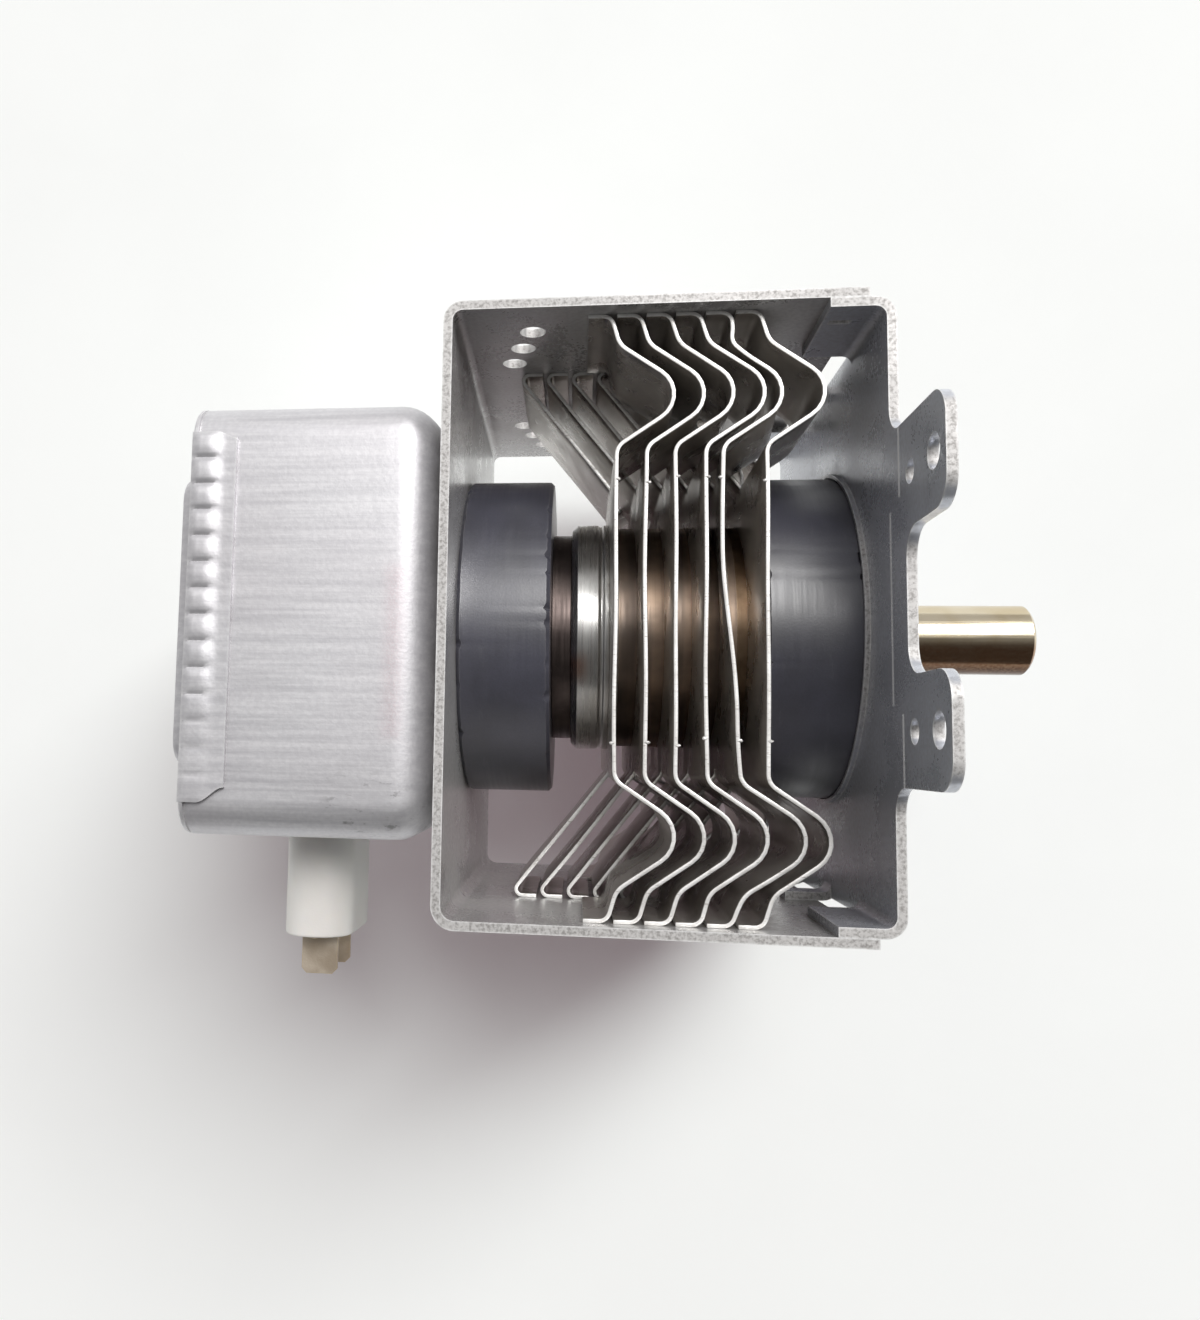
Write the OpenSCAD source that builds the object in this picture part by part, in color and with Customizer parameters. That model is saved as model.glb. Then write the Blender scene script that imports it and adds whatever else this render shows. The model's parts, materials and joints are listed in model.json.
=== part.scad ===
// Magnetron for an oven: steel yoke, two ring magnets, finned anode tube, filter box and antenna.
// X runs along the tube towards the antenna, Y across the closed walls, Z with the cooling air.
// The origin is on the tube's axis, in the outer face of the mounting plate.

/* [Yoke] */
// Outside width across the two long walls
yoke_w = 92; // [86:0.5:104]
// Depth along the cooling air
yoke_d = 77; // [72:0.5:90]
// Length from the closed wall's outer face to the mounting face
yoke_l = 64.5; // [63:0.5:70]
// Thickness of the yoke and plate steel
sheet = 1.4; // [1.2:0.1:1.8]
// Inside radius of the bend at the +Y wall
bend_a = 1.5; // [1:0.5:4]
// Inside radius of the bend at the -Y wall
bend_b = 2; // [1:0.5:6]
// Diameter of the vent holes in the +Y wall
vent_d = 4; // [2:0.5:5]

/* [Mounting plate] */
// How far the ears stand out past the yoke's opening
ear_out = 21.8; // [20:0.2:28]
// Width of each ear
ear_w = 14.7; // [12:0.1:18]
// Spacing of the bolt holes across the plate
bolt_y = 34; // [30:0.5:40]
// Bolt holes' distance past the yoke's opening
bolt_out = 17.5; // [15:0.5:18]
// Diameter of the bolt holes
bolt_d = 4.6; // [3.4:0.1:6]
// Diameter of the locating holes
pin_d = 3.4; // [2.4:0.1:4]

/* [Magnets] */
// Outside diameter of the ring magnets
magnet_d = 55; // [50:0.5:58]
// Thickness of the ring magnets
magnet_t = 14.6; // [12:0.2:15]
// Bore of the ring magnets
magnet_bore = 21; // [20:0.5:26]

/* [Tube] */
// Outside diameter of the anode tube
anode_d = 38.6; // [36:0.2:41]
// Wall of the anode tube
anode_wall = 2.4; // [1.8:0.1:3]
// Diameter of the necks that pass through the magnets
neck_d = 17; // [15:0.5:19]
// Thickness of the drawn metal cups
cup_t = 0.6; // [0.4:0.1:0.8]
// Axial length of the vanes
vane_l = 9.4; // [8:0.2:10]

/* [Fins] */
// Thickness of the fin sheet
fin_t = 0.6; // [0.4:0.1:0.8]
// How far the forward wings reach along the tube
wing_reach = 8.8; // [7:0.1:9.5]
// How far the backward wings reach along the tube
sweep_reach = 15; // [10:0.5:15]
// Gap left between the fins and the yoke's open edges
fin_inset = 3.2; // [2:0.2:6]

/* [Filter box] */
// Length of the filter case along the tube
case_l = 40.8; // [38:0.2:48]
// Width of the filter case
case_w = 70; // [66:0.5:80]
// Depth of the filter case
case_d = 58; // [54:0.5:66]
// Corner radius of the drawn case
case_r = 6; // [4:0.5:8]
// Sheet thickness of the case and lid
case_t = 0.8; // [0.6:0.1:1.2]
// How far the lid's raised panel stands out
panel_h = 3.4; // [1:0.2:4]

/* [Supply terminals] */
// Width of each flat terminal
tab_w = 6.3; // [4.8:0.1:6.8]
// Spacing of the two terminals
tab_pitch = 10; // [9:0.5:14]
// How far the capacitor stands out of the case
cap_out = 18; // [14:0.5:24]
// Width of the capacitor along the tube
cap_w = 12; // [11:0.5:15]

/* [Antenna] */
// Diameter of the antenna cap
antenna_d = 11.8; // [10:0.2:16]
// Height of the antenna tip above the mounting face
antenna_l = 31; // [26:0.5:36]

/* [Hidden] */
$fn = 64;
// One entry for each sub-part.

// Yoke and plate positions.
wall_x = -yoke_l + sheet;
in_w = yoke_w / 2 - sheet;
half_d = yoke_d / 2;
leg_end = -3.6;
vent_x = wall_x + 11.5;
vent_z = half_d - 9.1;
flange_l = 9;
ear_tip = half_d + ear_out;
web_z = half_d + 6.5;
bolt_z = half_d + bolt_out;
pin_z = half_d + bolt_out - 9;
lip_r = magnet_d / 2 + 0.2;

// Magnet faces and the space between them.
mag_a1 = wall_x + magnet_t;
mag_b0 = -sheet - magnet_t;
spacer_t = 3.2;
cup_x0 = mag_a1 + spacer_t;
anode_r = anode_d / 2;
cup_r = anode_r + cup_t;
groove_x = cup_x0 + 4.9;
bore_r = anode_r - anode_wall;
neck_r = neck_d / 2;
mid_x = (cup_x0 + mag_b0) / 2;
anode_x0 = cup_x0 + cup_t;
anode_x1 = mag_b0 - 3.2;
vane_x0 = mid_x - vane_l / 2;
vane_x1 = mid_x + vane_l / 2;
vane_tip = 4.6;
pole_gap = 2.6;
pole_t = 1.6;

// Fin positions: the first fin closes the cup, the last one clears the magnet.
fin_n = 6;
fin_first = cup_x0 + 6.5;
fin_last = mag_b0 - 1.3;
fin_pitch = (fin_last - fin_first) / (fin_n - 1);
fin_z = half_d - fin_inset;
fold_y = 23.8;
slit_z = 13;
foot_l = fin_pitch - fin_t - 0.3;
foot_x = 0.9;
foot_y = in_w - fin_t / 2;

// Cathode parts.
coil_r = 1.9;
hat_r = 3.4;
lead_r = 0.6;
side_y = 2.1;
stem_r = neck_r - 0.4;
stem_x1 = -yoke_l - 4;
stem_x0 = stem_x1 - 8;
pin_x0 = stem_x0 - 4;
pin_y = 4;

// Filter box and terminals.
lid_x = -yoke_l - case_l;
cap_x = -yoke_l - 24;
cap_y = -case_w / 2;
cap_len = tab_pitch + cap_w;
tab_t = 0.8;
tab_l = 7;
rod_r = 1.5;
choke_y0 = cap_y + 9;
crimp_r = 2.7;
end_more = 4;
choke_l = 20;
choke_pitch = 2;
wire = 1.2;
choke_r = 3.4;

// Antenna parts.
ceramic_x0 = 3;
ceramic_x1 = 11.5;
cap_t = 0.5;
tip_r = antenna_d / 2;
tube_r = 2;
lead_y = 12.6;

// Direction of a plane vector.
function unit(v) = v / norm(v);

// Points of the arc that rounds corner b between a and c.
function arc_at(a, b, c, r, n) =
    let(u = unit(a - b), w = unit(c - b), ang = acos(u * w))
    let(p = b + u * r / tan(ang / 2), q = b + w * r / tan(ang / 2))
    let(m = b + unit(u + w) * r / sin(ang / 2))
    let(s = atan2(p[1] - m[1], p[0] - m[0]), e = atan2(q[1] - m[1], q[0] - m[0]))
    let(d = ((e - s + 540) % 360) - 180)
    [for (i = [0 : n]) m + r * [cos(s + d * i / n), sin(s + d * i / n)]];

// Open path with each inner corner rounded by its own radius.
function rounded(p, r, n) = concat(
    [p[0]],
    [for (i = [1 : len(p) - 2]) each arc_at(p[i - 1], p[i], p[i + 1], r[i], n)],
    [p[len(p) - 1]]
);

// Closed outline with each corner rounded by its own radius.
function rounded_loop(p, r, n) =
    let(k = len(p))
    [for (i = [0 : k - 1]) each (
        r[i] == 0 ? [p[i]] : arc_at(p[(i + k - 1) % k], p[i], p[(i + 1) % k], r[i], n)
    )];

// Normal of the step from a to b.
function step_n(a, b) = let(d = unit(b - a)) [-d[1], d[0]];

// Mitred normal at point i of a path.
function vert_n(p, i) =
    i == 0 ? step_n(p[0], p[1]) :
    i == len(p) - 1 ? step_n(p[i - 1], p[i]) :
    let(n = step_n(p[i - 1], p[i]) + step_n(p[i], p[i + 1])) n * 2 / (n * n);

// Outline of a strip of thickness t that follows a path.
function strip(p, t) = concat(
    [for (i = [0 : len(p) - 1]) p[i] + vert_n(p, i) * t / 2],
    [for (i = [len(p) - 1 : -1 : 0]) p[i] - vert_n(p, i) * t / 2]
);

// Rounded rectangle, w by h, about the origin.
function round_rect(w, h, r, n) = rounded_loop(
    [[-w / 2, -h / 2], [w / 2, -h / 2], [w / 2, h / 2], [-w / 2, h / 2]], [r, r, r, r], n
);

// Round bar along X.
module bar_x(x0, x1, r) {
    translate([x0, 0, 0]) rotate([0, 90, 0]) cylinder(h = x1 - x0, r = r);
}

// Tube along X.
module tube_x(x0, x1, ro, ri) {
    difference() {
        bar_x(x0, x1, ro);
        bar_x(x0 - 1, x1 + 1, ri);
    }
}

// Solid turned about X from [radius, x] points.
module lathe_x(points) {
    rotate([0, 90, 0]) rotate_extrude() polygon(points);
}

// Plane outline in Y and Z, given thickness along X.
module plate_x(x0, x1, outline) {
    translate([x0, 0, 0]) rotate([90, 0, 90]) linear_extrude(x1 - x0) polygon(outline);
}

// Plane outline in X and Y, given depth along Z.
module prism_z(z0, z1, outline) {
    translate([0, 0, z0]) linear_extrude(z1 - z0) polygon(outline);
}

// Round bar between two points.
module rod(a, b, r) {
    d = b - a;
    l = norm(d);
    translate(a) rotate([0, acos(d[2] / l), atan2(d[1], d[0])]) cylinder(h = l, r = r, $fn = 24);
}

// Close winding about Z, drawn as a sleeve with one round ridge for each turn.
module winding(r, w, pitch, turns) {
    n = 4;
    ridge = [for (k = [0 : turns - 1]) for (i = [0 : n - 1]) [r + w / 2 * sin(180 * i / n), pitch * (k + i / n)]];
    rotate_extrude() polygon(concat([[r - w / 2, 0]], ridge, [[r, pitch * turns], [r - w / 2, pitch * turns]]));
}

// Bent steel yoke: closed wall at the filter end and two long walls.
module yoke_frame() {
    c = in_w + sheet / 2;
    path = rounded(
        [[leg_end, c], [-yoke_l + sheet / 2, c], [-yoke_l + sheet / 2, -c], [leg_end, -c]],
        [0, bend_a + sheet / 2, bend_b + sheet / 2, 0], 8
    );
    color([0.72, 0.73, 0.74]) difference() {
        prism_z(-half_d, half_d, strip(path, sheet));
        bar_x(-yoke_l - 1, wall_x + 1, magnet_bore / 2);
        for (s = [-1, 1]) for (i = [0 : 2]) translate([vent_x - 1.8 * i, in_w - 1, s * (vent_z - 6.4 * i)])
            rotate([-90, 0, 0]) cylinder(h = 4, d = vent_d);
        for (s = [-1, 1]) plate_slot(s);
    }
}

// Joint slot through the wall and the plate's flange.
module plate_slot(s) {
    translate([-8, in_w - 4, s * (half_d - 5.5) - 0.6]) cube([3, 8, 1.2]);
}

// Mounting plate with flanges, ears and the magnet's locating lip.
module mounting_plate() {
    c = in_w - sheet / 2;
    path = rounded(
        [[-flange_l, c], [-sheet / 2, c], [-sheet / 2, -c], [-flange_l, -c]],
        [0, 1.5 + sheet / 2, 1.5 + sheet / 2, 0], 6
    );
    y0 = bolt_y / 2 - ear_w / 2;
    y1 = bolt_y / 2 + ear_w / 2;
    side = [[0, web_z], [y0, web_z], [y0, ear_tip], [y1, ear_tip], [y1, half_d], [y1 + 6, half_d]];
    quarter = rounded(side, [0, 4, 4, 4, 4, 0], 10);
    n = len(quarter);
    right = concat(quarter, [for (i = [n - 1 : -1 : 0]) [quarter[i][0], -quarter[i][1]]]);
    m = len(right);
    outline = concat(right, [for (i = [m - 2 : -1 : 1]) [-right[i][0], right[i][1]]]);
    color([0.74, 0.75, 0.76]) difference() {
        union() {
            prism_z(-half_d, half_d, strip(path, sheet));
            plate_x(-sheet, 0, outline);
            tube_x(-sheet - 0.8, -sheet / 2, lip_r + 0.6, lip_r);
        }
        bar_x(-sheet - 2, 1, neck_r + 0.4);
        for (sy = [-1, 1]) for (sz = [-1, 1]) {
            translate([0, sy * bolt_y / 2, sz * bolt_z]) bar_x(-sheet - 1, 1, bolt_d / 2);
            translate([0, sy * bolt_y / 2, sz * pin_z]) bar_x(-sheet - 1, 1, pin_d / 2);
            translate([-flange_l - 1, sy * in_w - 3, sz * 11 - 8.5]) cube([flange_l + 1 - sheet, 6, 17]);
        }
        for (s = [-1, 1]) plate_slot(s);
    }
}

// Ring magnet between two faces, with broken edges.
module ring_magnet(x0, x1) {
    r = magnet_d / 2;
    b = magnet_bore / 2;
    c = 1.1;
    color([0.16, 0.17, 0.19]) lathe_x([
        [b, x0], [r - c, x0], [r, x0 + c], [r, x1 - c], [r - c, x1], [b, x1]
    ]);
}

module cathode_side_magnet() {
    ring_magnet(wall_x, mag_a1);
}

module antenna_side_magnet() {
    ring_magnet(mag_b0, -sheet);
}

// One fin: a flat middle with a collar, and three wings at each end.
module fin(x) {
    // Corner that leaves the wing's rounded peak at its reach.
    peak = wing_reach + 2.2;
    low = fold_y + 0.6;
    high = foot_y - 4.4;
    mid = (low + high) / 2;
    wing = rounded(
        [[0, fold_y - 3], [0, low], [peak, mid], [0.4, high], [-foot_x, foot_y], [-foot_x - foot_l, foot_y]],
        [0, 2.2, 3.3, 3.2, 0.8, 0], 7
    );
    tip = sweep_reach + 1.2;
    sweep = rounded(
        [[0, fold_y - 3], [0, fold_y], [-tip, foot_y], [-tip + foot_l + 1, foot_y]],
        [0, 1.5, 1, 0], 5
    );
    color([0.82, 0.83, 0.84]) translate([x, 0, 0]) difference() {
        union() {
            translate([-fin_t / 2, -fold_y + 1, -fin_z]) cube([fin_t, 2 * fold_y - 2, 2 * fin_z]);
            bar_x(0, fin_t / 2 + 0.8, anode_r + fin_t);
            for (s = [0, 1]) mirror([0, s, 0]) {
                prism_z(slit_z, fin_z, strip(wing, fin_t));
                prism_z(-fin_z, -slit_z, strip(wing, fin_t));
                prism_z(-slit_z + 1, slit_z - 1, strip(sweep, fin_t));
            }
        }
        bar_x(-2, 4, anode_r);
    }
}

module cooling_fin_1() {
    fin(fin_first);
}

module cooling_fin_2() {
    fin(fin_first + fin_pitch);
}

module cooling_fin_3() {
    fin(fin_first + 2 * fin_pitch);
}

module cooling_fin_4() {
    fin(fin_first + 3 * fin_pitch);
}

module cooling_fin_5() {
    fin(fin_first + 4 * fin_pitch);
}

module cooling_fin_6() {
    fin(fin_last);
}

// Copper anode tube with its ten vanes.
module anode_block() {
    color([0.72, 0.45, 0.28]) union() {
        tube_x(anode_x0, anode_x1, anode_r, bore_r);
        for (i = [0 : 9]) rotate([36 * i + 18, 0, 0]) translate([vane_x0, -0.9, vane_tip])
            cube([vane_l, 1.8, bore_r + 0.6 - vane_tip]);
    }
}

// Rings that tie alternate vanes together.
module inner_strap_ring() {
    color([0.78, 0.52, 0.33]) tube_x(vane_x1, vane_x1 + 0.8, 7.6, 6.6);
}

module outer_strap_ring() {
    color([0.78, 0.52, 0.33]) tube_x(vane_x1, vane_x1 + 0.8, 9.6, 8.6);
}

// Iron funnels that carry the field to the vanes.
module cathode_side_pole_piece() {
    x0 = anode_x0;
    x1 = vane_x0 - pole_gap;
    color([0.5, 0.51, 0.53]) lathe_x([
        [9, x0], [bore_r, x0], [bore_r, x0 + pole_t], [9, x0 + pole_t], [7.6, x1], [4.8, x1], [4.8, x1 - pole_t], [6.4, x1 - pole_t]
    ]);
}

module antenna_side_pole_piece() {
    x0 = anode_x1;
    x1 = vane_x1 + pole_gap;
    color([0.5, 0.51, 0.53]) difference() {
        lathe_x([
            [9, x0], [bore_r, x0], [bore_r, x0 - pole_t], [9, x0 - pole_t], [7.6, x1], [4.8, x1], [4.8, x1 + pole_t], [6.4, x1 + pole_t]
        ]);
        translate([0, lead_y, 0]) bar_x(x1 - 1, x0 + 1, 2);
    }
}

// Bright drawn cup over the anode's cathode end, with its neck.
module cathode_side_cup() {
    color([0.83, 0.83, 0.82]) lathe_x([
        [neck_r - cup_t, stem_x1], [neck_r, stem_x1], [neck_r, cup_x0], [cup_r - 1, cup_x0],
        [cup_r, cup_x0 + 1], [cup_r, groove_x - 0.5], [cup_r - cup_t / 2, groove_x - 0.2],
        [cup_r - cup_t / 2, groove_x + 0.2], [cup_r, groove_x + 0.5],
        [cup_r, fin_first - fin_t / 2], [anode_r, fin_first - fin_t / 2],
        [anode_r, anode_x0], [neck_r - cup_t, anode_x0]
    ]);
}

// Ring between the cathode-side magnet and the cup.
module cup_spacer() {
    color([0.36, 0.3, 0.27]) tube_x(mag_a1, cup_x0, cup_r - 1.8, neck_r);
}

// Cup on the antenna end, with the neck that carries the ceramic.
module antenna_side_cup() {
    color([0.83, 0.83, 0.82]) lathe_x([
        [bore_r - 1, anode_x1], [anode_r, anode_x1], [anode_r, mag_b0], [neck_r, mag_b0], [neck_r, ceramic_x0],
        [neck_r - cup_t - 0.8, ceramic_x0], [neck_r - cup_t - 0.8, mag_b0 - cup_t], [bore_r - 1, mag_b0 - cup_t]
    ]);
}

// Wound cathode wire.
module filament() {
    color([0.45, 0.45, 0.47]) translate([vane_x0 + 0.2, 0, 0]) rotate([0, 90, 0]) winding(coil_r, 0.6, (vane_l - 0.4) / 7, 7);
}

// Shields at the filament's ends.
module upper_end_hat() {
    color([0.55, 0.55, 0.57]) bar_x(vane_x1 - 0.2, vane_x1 + 1.2, hat_r);
}

module lower_end_hat() {
    color([0.55, 0.55, 0.57]) tube_x(vane_x0 - 1.2, vane_x0 + 0.2, hat_r, lead_r + 0.5);
}

// Support wires of the filament, each ending in a terminal behind the stem.
module centre_lead() {
    color([0.6, 0.6, 0.62]) union() {
        bar_x(stem_x0, vane_x1 - 0.2, lead_r);
        rod([stem_x0, 0, 0], [stem_x0 - 1.2, 0, pin_y], lead_r);
        translate([stem_x0 - 1.2, 0, pin_y]) sphere(r = lead_r * 1.15, $fn = 24);
        rod([stem_x0 - 1.2, 0, pin_y], [pin_x0, 0, pin_y], lead_r);
        translate([stem_x0, 0, 0]) sphere(r = lead_r * 1.15, $fn = 24);
    }
}

module side_lead() {
    color([0.6, 0.6, 0.62]) union() {
        rod([pin_x0, 0, -pin_y], [stem_x0 - 1.2, 0, -pin_y], lead_r);
        translate([stem_x0 - 1.2, 0, -pin_y]) sphere(r = lead_r * 1.15, $fn = 24);
        rod([stem_x0 - 1.2, 0, -pin_y], [stem_x0, 0, -side_y], lead_r);
        translate([stem_x0, 0, -side_y]) sphere(r = lead_r * 1.15, $fn = 24);
        translate([0, 0, -side_y]) bar_x(stem_x0, vane_x0 - 1.2, lead_r);
    }
}

// Ceramic that closes the cathode neck and carries the leads.
module stem_ceramic() {
    color([0.93, 0.9, 0.88]) difference() {
        lathe_x([
            [0, stem_x0 + 0.8], [stem_r, stem_x0 + 0.8], [stem_r, stem_x1], [neck_r - cup_t, stem_x1],
            [neck_r - cup_t, stem_x1 + 2], [0, stem_x1 + 2]
        ]);
        bar_x(stem_x0 - 3, stem_x1 + 3, lead_r);
        translate([0, 0, -side_y]) bar_x(stem_x0 - 3, stem_x1 + 3, lead_r);
    }
}

// Choke: a winding with a straight tail to the capacitor and one to the stem.
module choke(s) {
    z = s * tab_pitch / 2;
    top = choke_y0 + choke_l;
    color([0.75, 0.42, 0.2]) union() {
        translate([cap_x, choke_y0, z]) rotate([-90, 0, 0]) winding(choke_r, wire, choke_pitch, choke_l / choke_pitch);
        rod([cap_x + choke_r, choke_y0 - 5, z], [cap_x + choke_r, choke_y0 + 0.6, z], wire / 2);
        rod([cap_x, choke_y0 - 5, z], [cap_x + choke_r, choke_y0 - 5, z], wire / 2);
        translate([cap_x + choke_r, choke_y0 - 5, z]) sphere(d = wire * 1.15, $fn = 24);
        rod([cap_x + choke_r, top - 0.6, z], [cap_x + choke_r, 0, z], wire / 2);
        translate([cap_x + choke_r, 0, z]) sphere(d = wire * 1.15, $fn = 24);
        rod([cap_x + choke_r, 0, z], [pin_x0 - wire * 0.575, 0, s * pin_y], wire / 2);
        translate([pin_x0 - wire * 0.575, 0, s * pin_y]) sphere(d = wire * 1.15, $fn = 24);
    }
}

module choke_coil_front() {
    choke(1);
}

module choke_coil_back() {
    choke(-1);
}

// Ferrite rods inside the chokes.
module choke_core(s) {
    color([0.2, 0.19, 0.19]) translate([cap_x, choke_y0 + 0.5, s * tab_pitch / 2]) rotate([-90, 0, 0])
        cylinder(h = choke_l - 1, r = choke_r - wire / 2);
}

module choke_core_front() {
    choke_core(1);
}

module choke_core_back() {
    choke_core(-1);
}

// Box with rounded sides and a rounded closed end at x1, wider round its long sides.
module soft_box(x0, x1, w, d, r) {
    e = r + end_more;
    intersection() {
        plate_x(x0, x1, round_rect(w, d, r, 8));
        prism_z(-d, d, rounded_loop([[x0, -w / 2], [x1, -w / 2], [x1, w / 2], [x0, w / 2]], [0, e, e, 0], 10));
        rotate([-90, 0, 0]) translate([0, 0, -w]) linear_extrude(2 * w)
            polygon(rounded_loop([[x0, -d / 2], [x1, -d / 2], [x1, d / 2], [x0, d / 2]], [0, r, r, 0], 8));
    }
}

// Outline of the capacitor along the tube and the cooling air.
function cap_outline(g) = round_rect(cap_w + 2 * g, cap_len + 2 * g, cap_w / 2 - 0.5 + g, 8);

// Capacitor outline given height along Y.
module cap_prism(y0, y1, g) {
    translate([cap_x, y1, 0]) rotate([90, 0, 0]) linear_extrude(y1 - y0) polygon(cap_outline(g));
}

// Drawn filter case, open at the lid end.
module filter_case() {
    t = case_t;
    color([0.78, 0.79, 0.8]) difference() {
        soft_box(lid_x, -yoke_l, case_w, case_d, case_r);
        soft_box(lid_x - 1, -yoke_l - t, case_w - 2 * t, case_d - 2 * t, case_r - t);
        bar_x(-yoke_l - 3, -yoke_l + 1, magnet_bore / 2);
        cap_prism(cap_y - 2, cap_y + 3, 0);
    }
}

// Row of soft crimps along a lid skirt, ridges along X.
module crimps(y0, y1, n) {
    for (i = [0 : n - 1]) translate([0, y0 + (i + 0.5) * (y1 - y0) / n, -crimp_r + 0.7]) bar_x(lid_x, lid_x + 5, crimp_r);
}

// Lid with a raised panel and a crimped skirt on the front and back.
module filter_lid() {
    t = case_t;
    hy = case_w / 2 - case_r + 0.6;
    color([0.76, 0.77, 0.78]) difference() {
        union() {
            plate_x(lid_x - t, lid_x, round_rect(case_w - 0.4, case_d + 2 * t, case_r, 8));
            plate_x(lid_x - panel_h - t, lid_x, round_rect(case_w - 22, case_d - 8, 4, 6));
            for (s = [-1, 1]) {
                translate([lid_x - t, -hy, s * (case_d / 2 + t / 2) - t / 2]) cube([6.6 + t, 2 * hy, t]);
                mirror([0, 0, s > 0 ? 0 : 1]) translate([0, 0, case_d / 2 + t]) crimps(-hy / 2, hy, 11);
            }
        }
        plate_x(lid_x - panel_h, lid_x + 1, round_rect(case_w - 22 - 2 * t, case_d - 8 - 2 * t, 3.2, 6));
        plate_x(lid_x, lid_x + 8, round_rect(case_w, case_d, case_r, 8));
    }
}

// Moulded feed-through capacitor that carries both terminals.
module capacitor_body() {
    color([0.92, 0.9, 0.83]) difference() {
        union() {
            cap_prism(cap_y - cap_out, cap_y + 3, 0);
            cap_prism(cap_y + case_t, cap_y + 3, 1.6);
        }
        for (s = [-1, 1]) translate([cap_x, cap_y - cap_out - 1, s * tab_pitch / 2]) rotate([-90, 0, 0])
            cylinder(h = cap_out + 8, r = rod_r);
    }
}

// Flat terminal on the end of its rod.
module supply_terminal(s) {
    y1 = cap_y - cap_out;
    color([0.8, 0.78, 0.72]) translate([cap_x, 0, s * tab_pitch / 2]) difference() {
        union() {
            translate([0, y1 - 1, 0]) rotate([-90, 0, 0]) cylinder(h = choke_y0 - 5 - y1 + 1 - wire / 2, r = rod_r);
            translate([-tab_w / 2, y1 - tab_l, -tab_t / 2]) cube([tab_w, tab_l, tab_t]);
        }
        for (k = [-1, 1]) translate([k * tab_w / 2, y1 - tab_l, 0]) rotate([0, 0, 45]) cube([1.2, 1.2, 4], center = true);
    }
}

module supply_terminal_front() {
    supply_terminal(1);
}

module supply_terminal_back() {
    supply_terminal(-1);
}

// Ceramic sleeve between the neck and the antenna cap.
module antenna_ceramic() {
    color([0.9, 0.82, 0.8]) tube_x(ceramic_x0, ceramic_x1, neck_r - cup_t, neck_r - cup_t - 3);
}

// Copper lead from one vane to the exhaust tube, bent from flat strip.
module antenna_lead() {
    turn_x = anode_x1 + 1.3;
    path = rounded(
        [[vane_x1, lead_y], [turn_x, lead_y], [turn_x, 0], [ceramic_x1 + 2, 0]],
        [0, 0.9, 0.9, 0], 5
    );
    color([0.74, 0.47, 0.3]) prism_z(-0.6, 0.6, strip(path, 1.2));
}

// Pinched-off copper tube under the cap.
module exhaust_tube() {
    color([0.74, 0.47, 0.3]) difference() {
        union() {
            bar_x(ceramic_x1, ceramic_x1 + 0.8, tip_r - cap_t);
            bar_x(ceramic_x1, antenna_l - 6, tube_r);
        }
        bar_x(ceramic_x1 - 1, ceramic_x1 + 2, 0.9);
    }
}

// Metal cap over the exhaust tube.
module antenna_cap() {
    c = 0.5;
    color([0.85, 0.8, 0.7]) lathe_x([
        [tip_r - cap_t, ceramic_x1], [tip_r, ceramic_x1], [tip_r, antenna_l - c], [tip_r - c, antenna_l],
        [0, antenna_l], [0, antenna_l - cap_t], [tip_r - cap_t, antenna_l - cap_t]
    ]);
}

// Ring of knitted wire on the mounting face.
module rf_gasket() {
    c = 0.8;
    ri = neck_r + 0.1;
    ro = neck_r + 4.6;
    color([0.7, 0.66, 0.56]) lathe_x([
        [ri, 0], [ro, 0], [ro, 2.6 - c], [ro - c, 2.6], [ri + c, 2.6], [ri, 2.6 - c]
    ]);
}

yoke_frame();
mounting_plate();
cathode_side_magnet();
antenna_side_magnet();
cooling_fin_1();
cooling_fin_2();
cooling_fin_3();
cooling_fin_4();
cooling_fin_5();
cooling_fin_6();
anode_block();
inner_strap_ring();
outer_strap_ring();
cathode_side_pole_piece();
antenna_side_pole_piece();
cathode_side_cup();
cup_spacer();
antenna_side_cup();
filament();
upper_end_hat();
lower_end_hat();
centre_lead();
side_lead();
stem_ceramic();
choke_coil_front();
choke_coil_back();
choke_core_front();
choke_core_back();
filter_case();
filter_lid();
capacitor_body();
supply_terminal_front();
supply_terminal_back();
antenna_ceramic();
antenna_lead();
exhaust_tube();
antenna_cap();
rf_gasket();
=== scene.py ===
"""Oven magnetron: finishes, worked details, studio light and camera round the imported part.

Frame: X runs along the tube with the antenna at +X, Z faces the camera, metres throughout.
"""
import json
import math
import random

import bmesh
import bpy
from mathutils import Matrix, Vector


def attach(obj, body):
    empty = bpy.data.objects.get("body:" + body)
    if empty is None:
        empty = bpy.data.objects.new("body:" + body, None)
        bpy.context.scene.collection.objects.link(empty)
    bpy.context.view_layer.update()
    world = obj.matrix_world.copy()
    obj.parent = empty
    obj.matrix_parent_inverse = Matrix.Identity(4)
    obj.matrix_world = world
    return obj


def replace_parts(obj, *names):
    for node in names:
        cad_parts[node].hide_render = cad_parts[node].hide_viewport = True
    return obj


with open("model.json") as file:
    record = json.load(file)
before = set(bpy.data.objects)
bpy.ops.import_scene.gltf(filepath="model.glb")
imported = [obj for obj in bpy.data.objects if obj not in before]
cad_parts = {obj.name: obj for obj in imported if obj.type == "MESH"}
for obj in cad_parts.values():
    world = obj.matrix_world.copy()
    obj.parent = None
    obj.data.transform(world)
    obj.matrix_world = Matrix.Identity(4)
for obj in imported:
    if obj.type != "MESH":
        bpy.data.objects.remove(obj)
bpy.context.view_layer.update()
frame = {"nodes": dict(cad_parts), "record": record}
nodes = frame["nodes"]

MM = 0.001
BODY = "root"


# ---------------------------------------------------------------- camera

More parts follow.
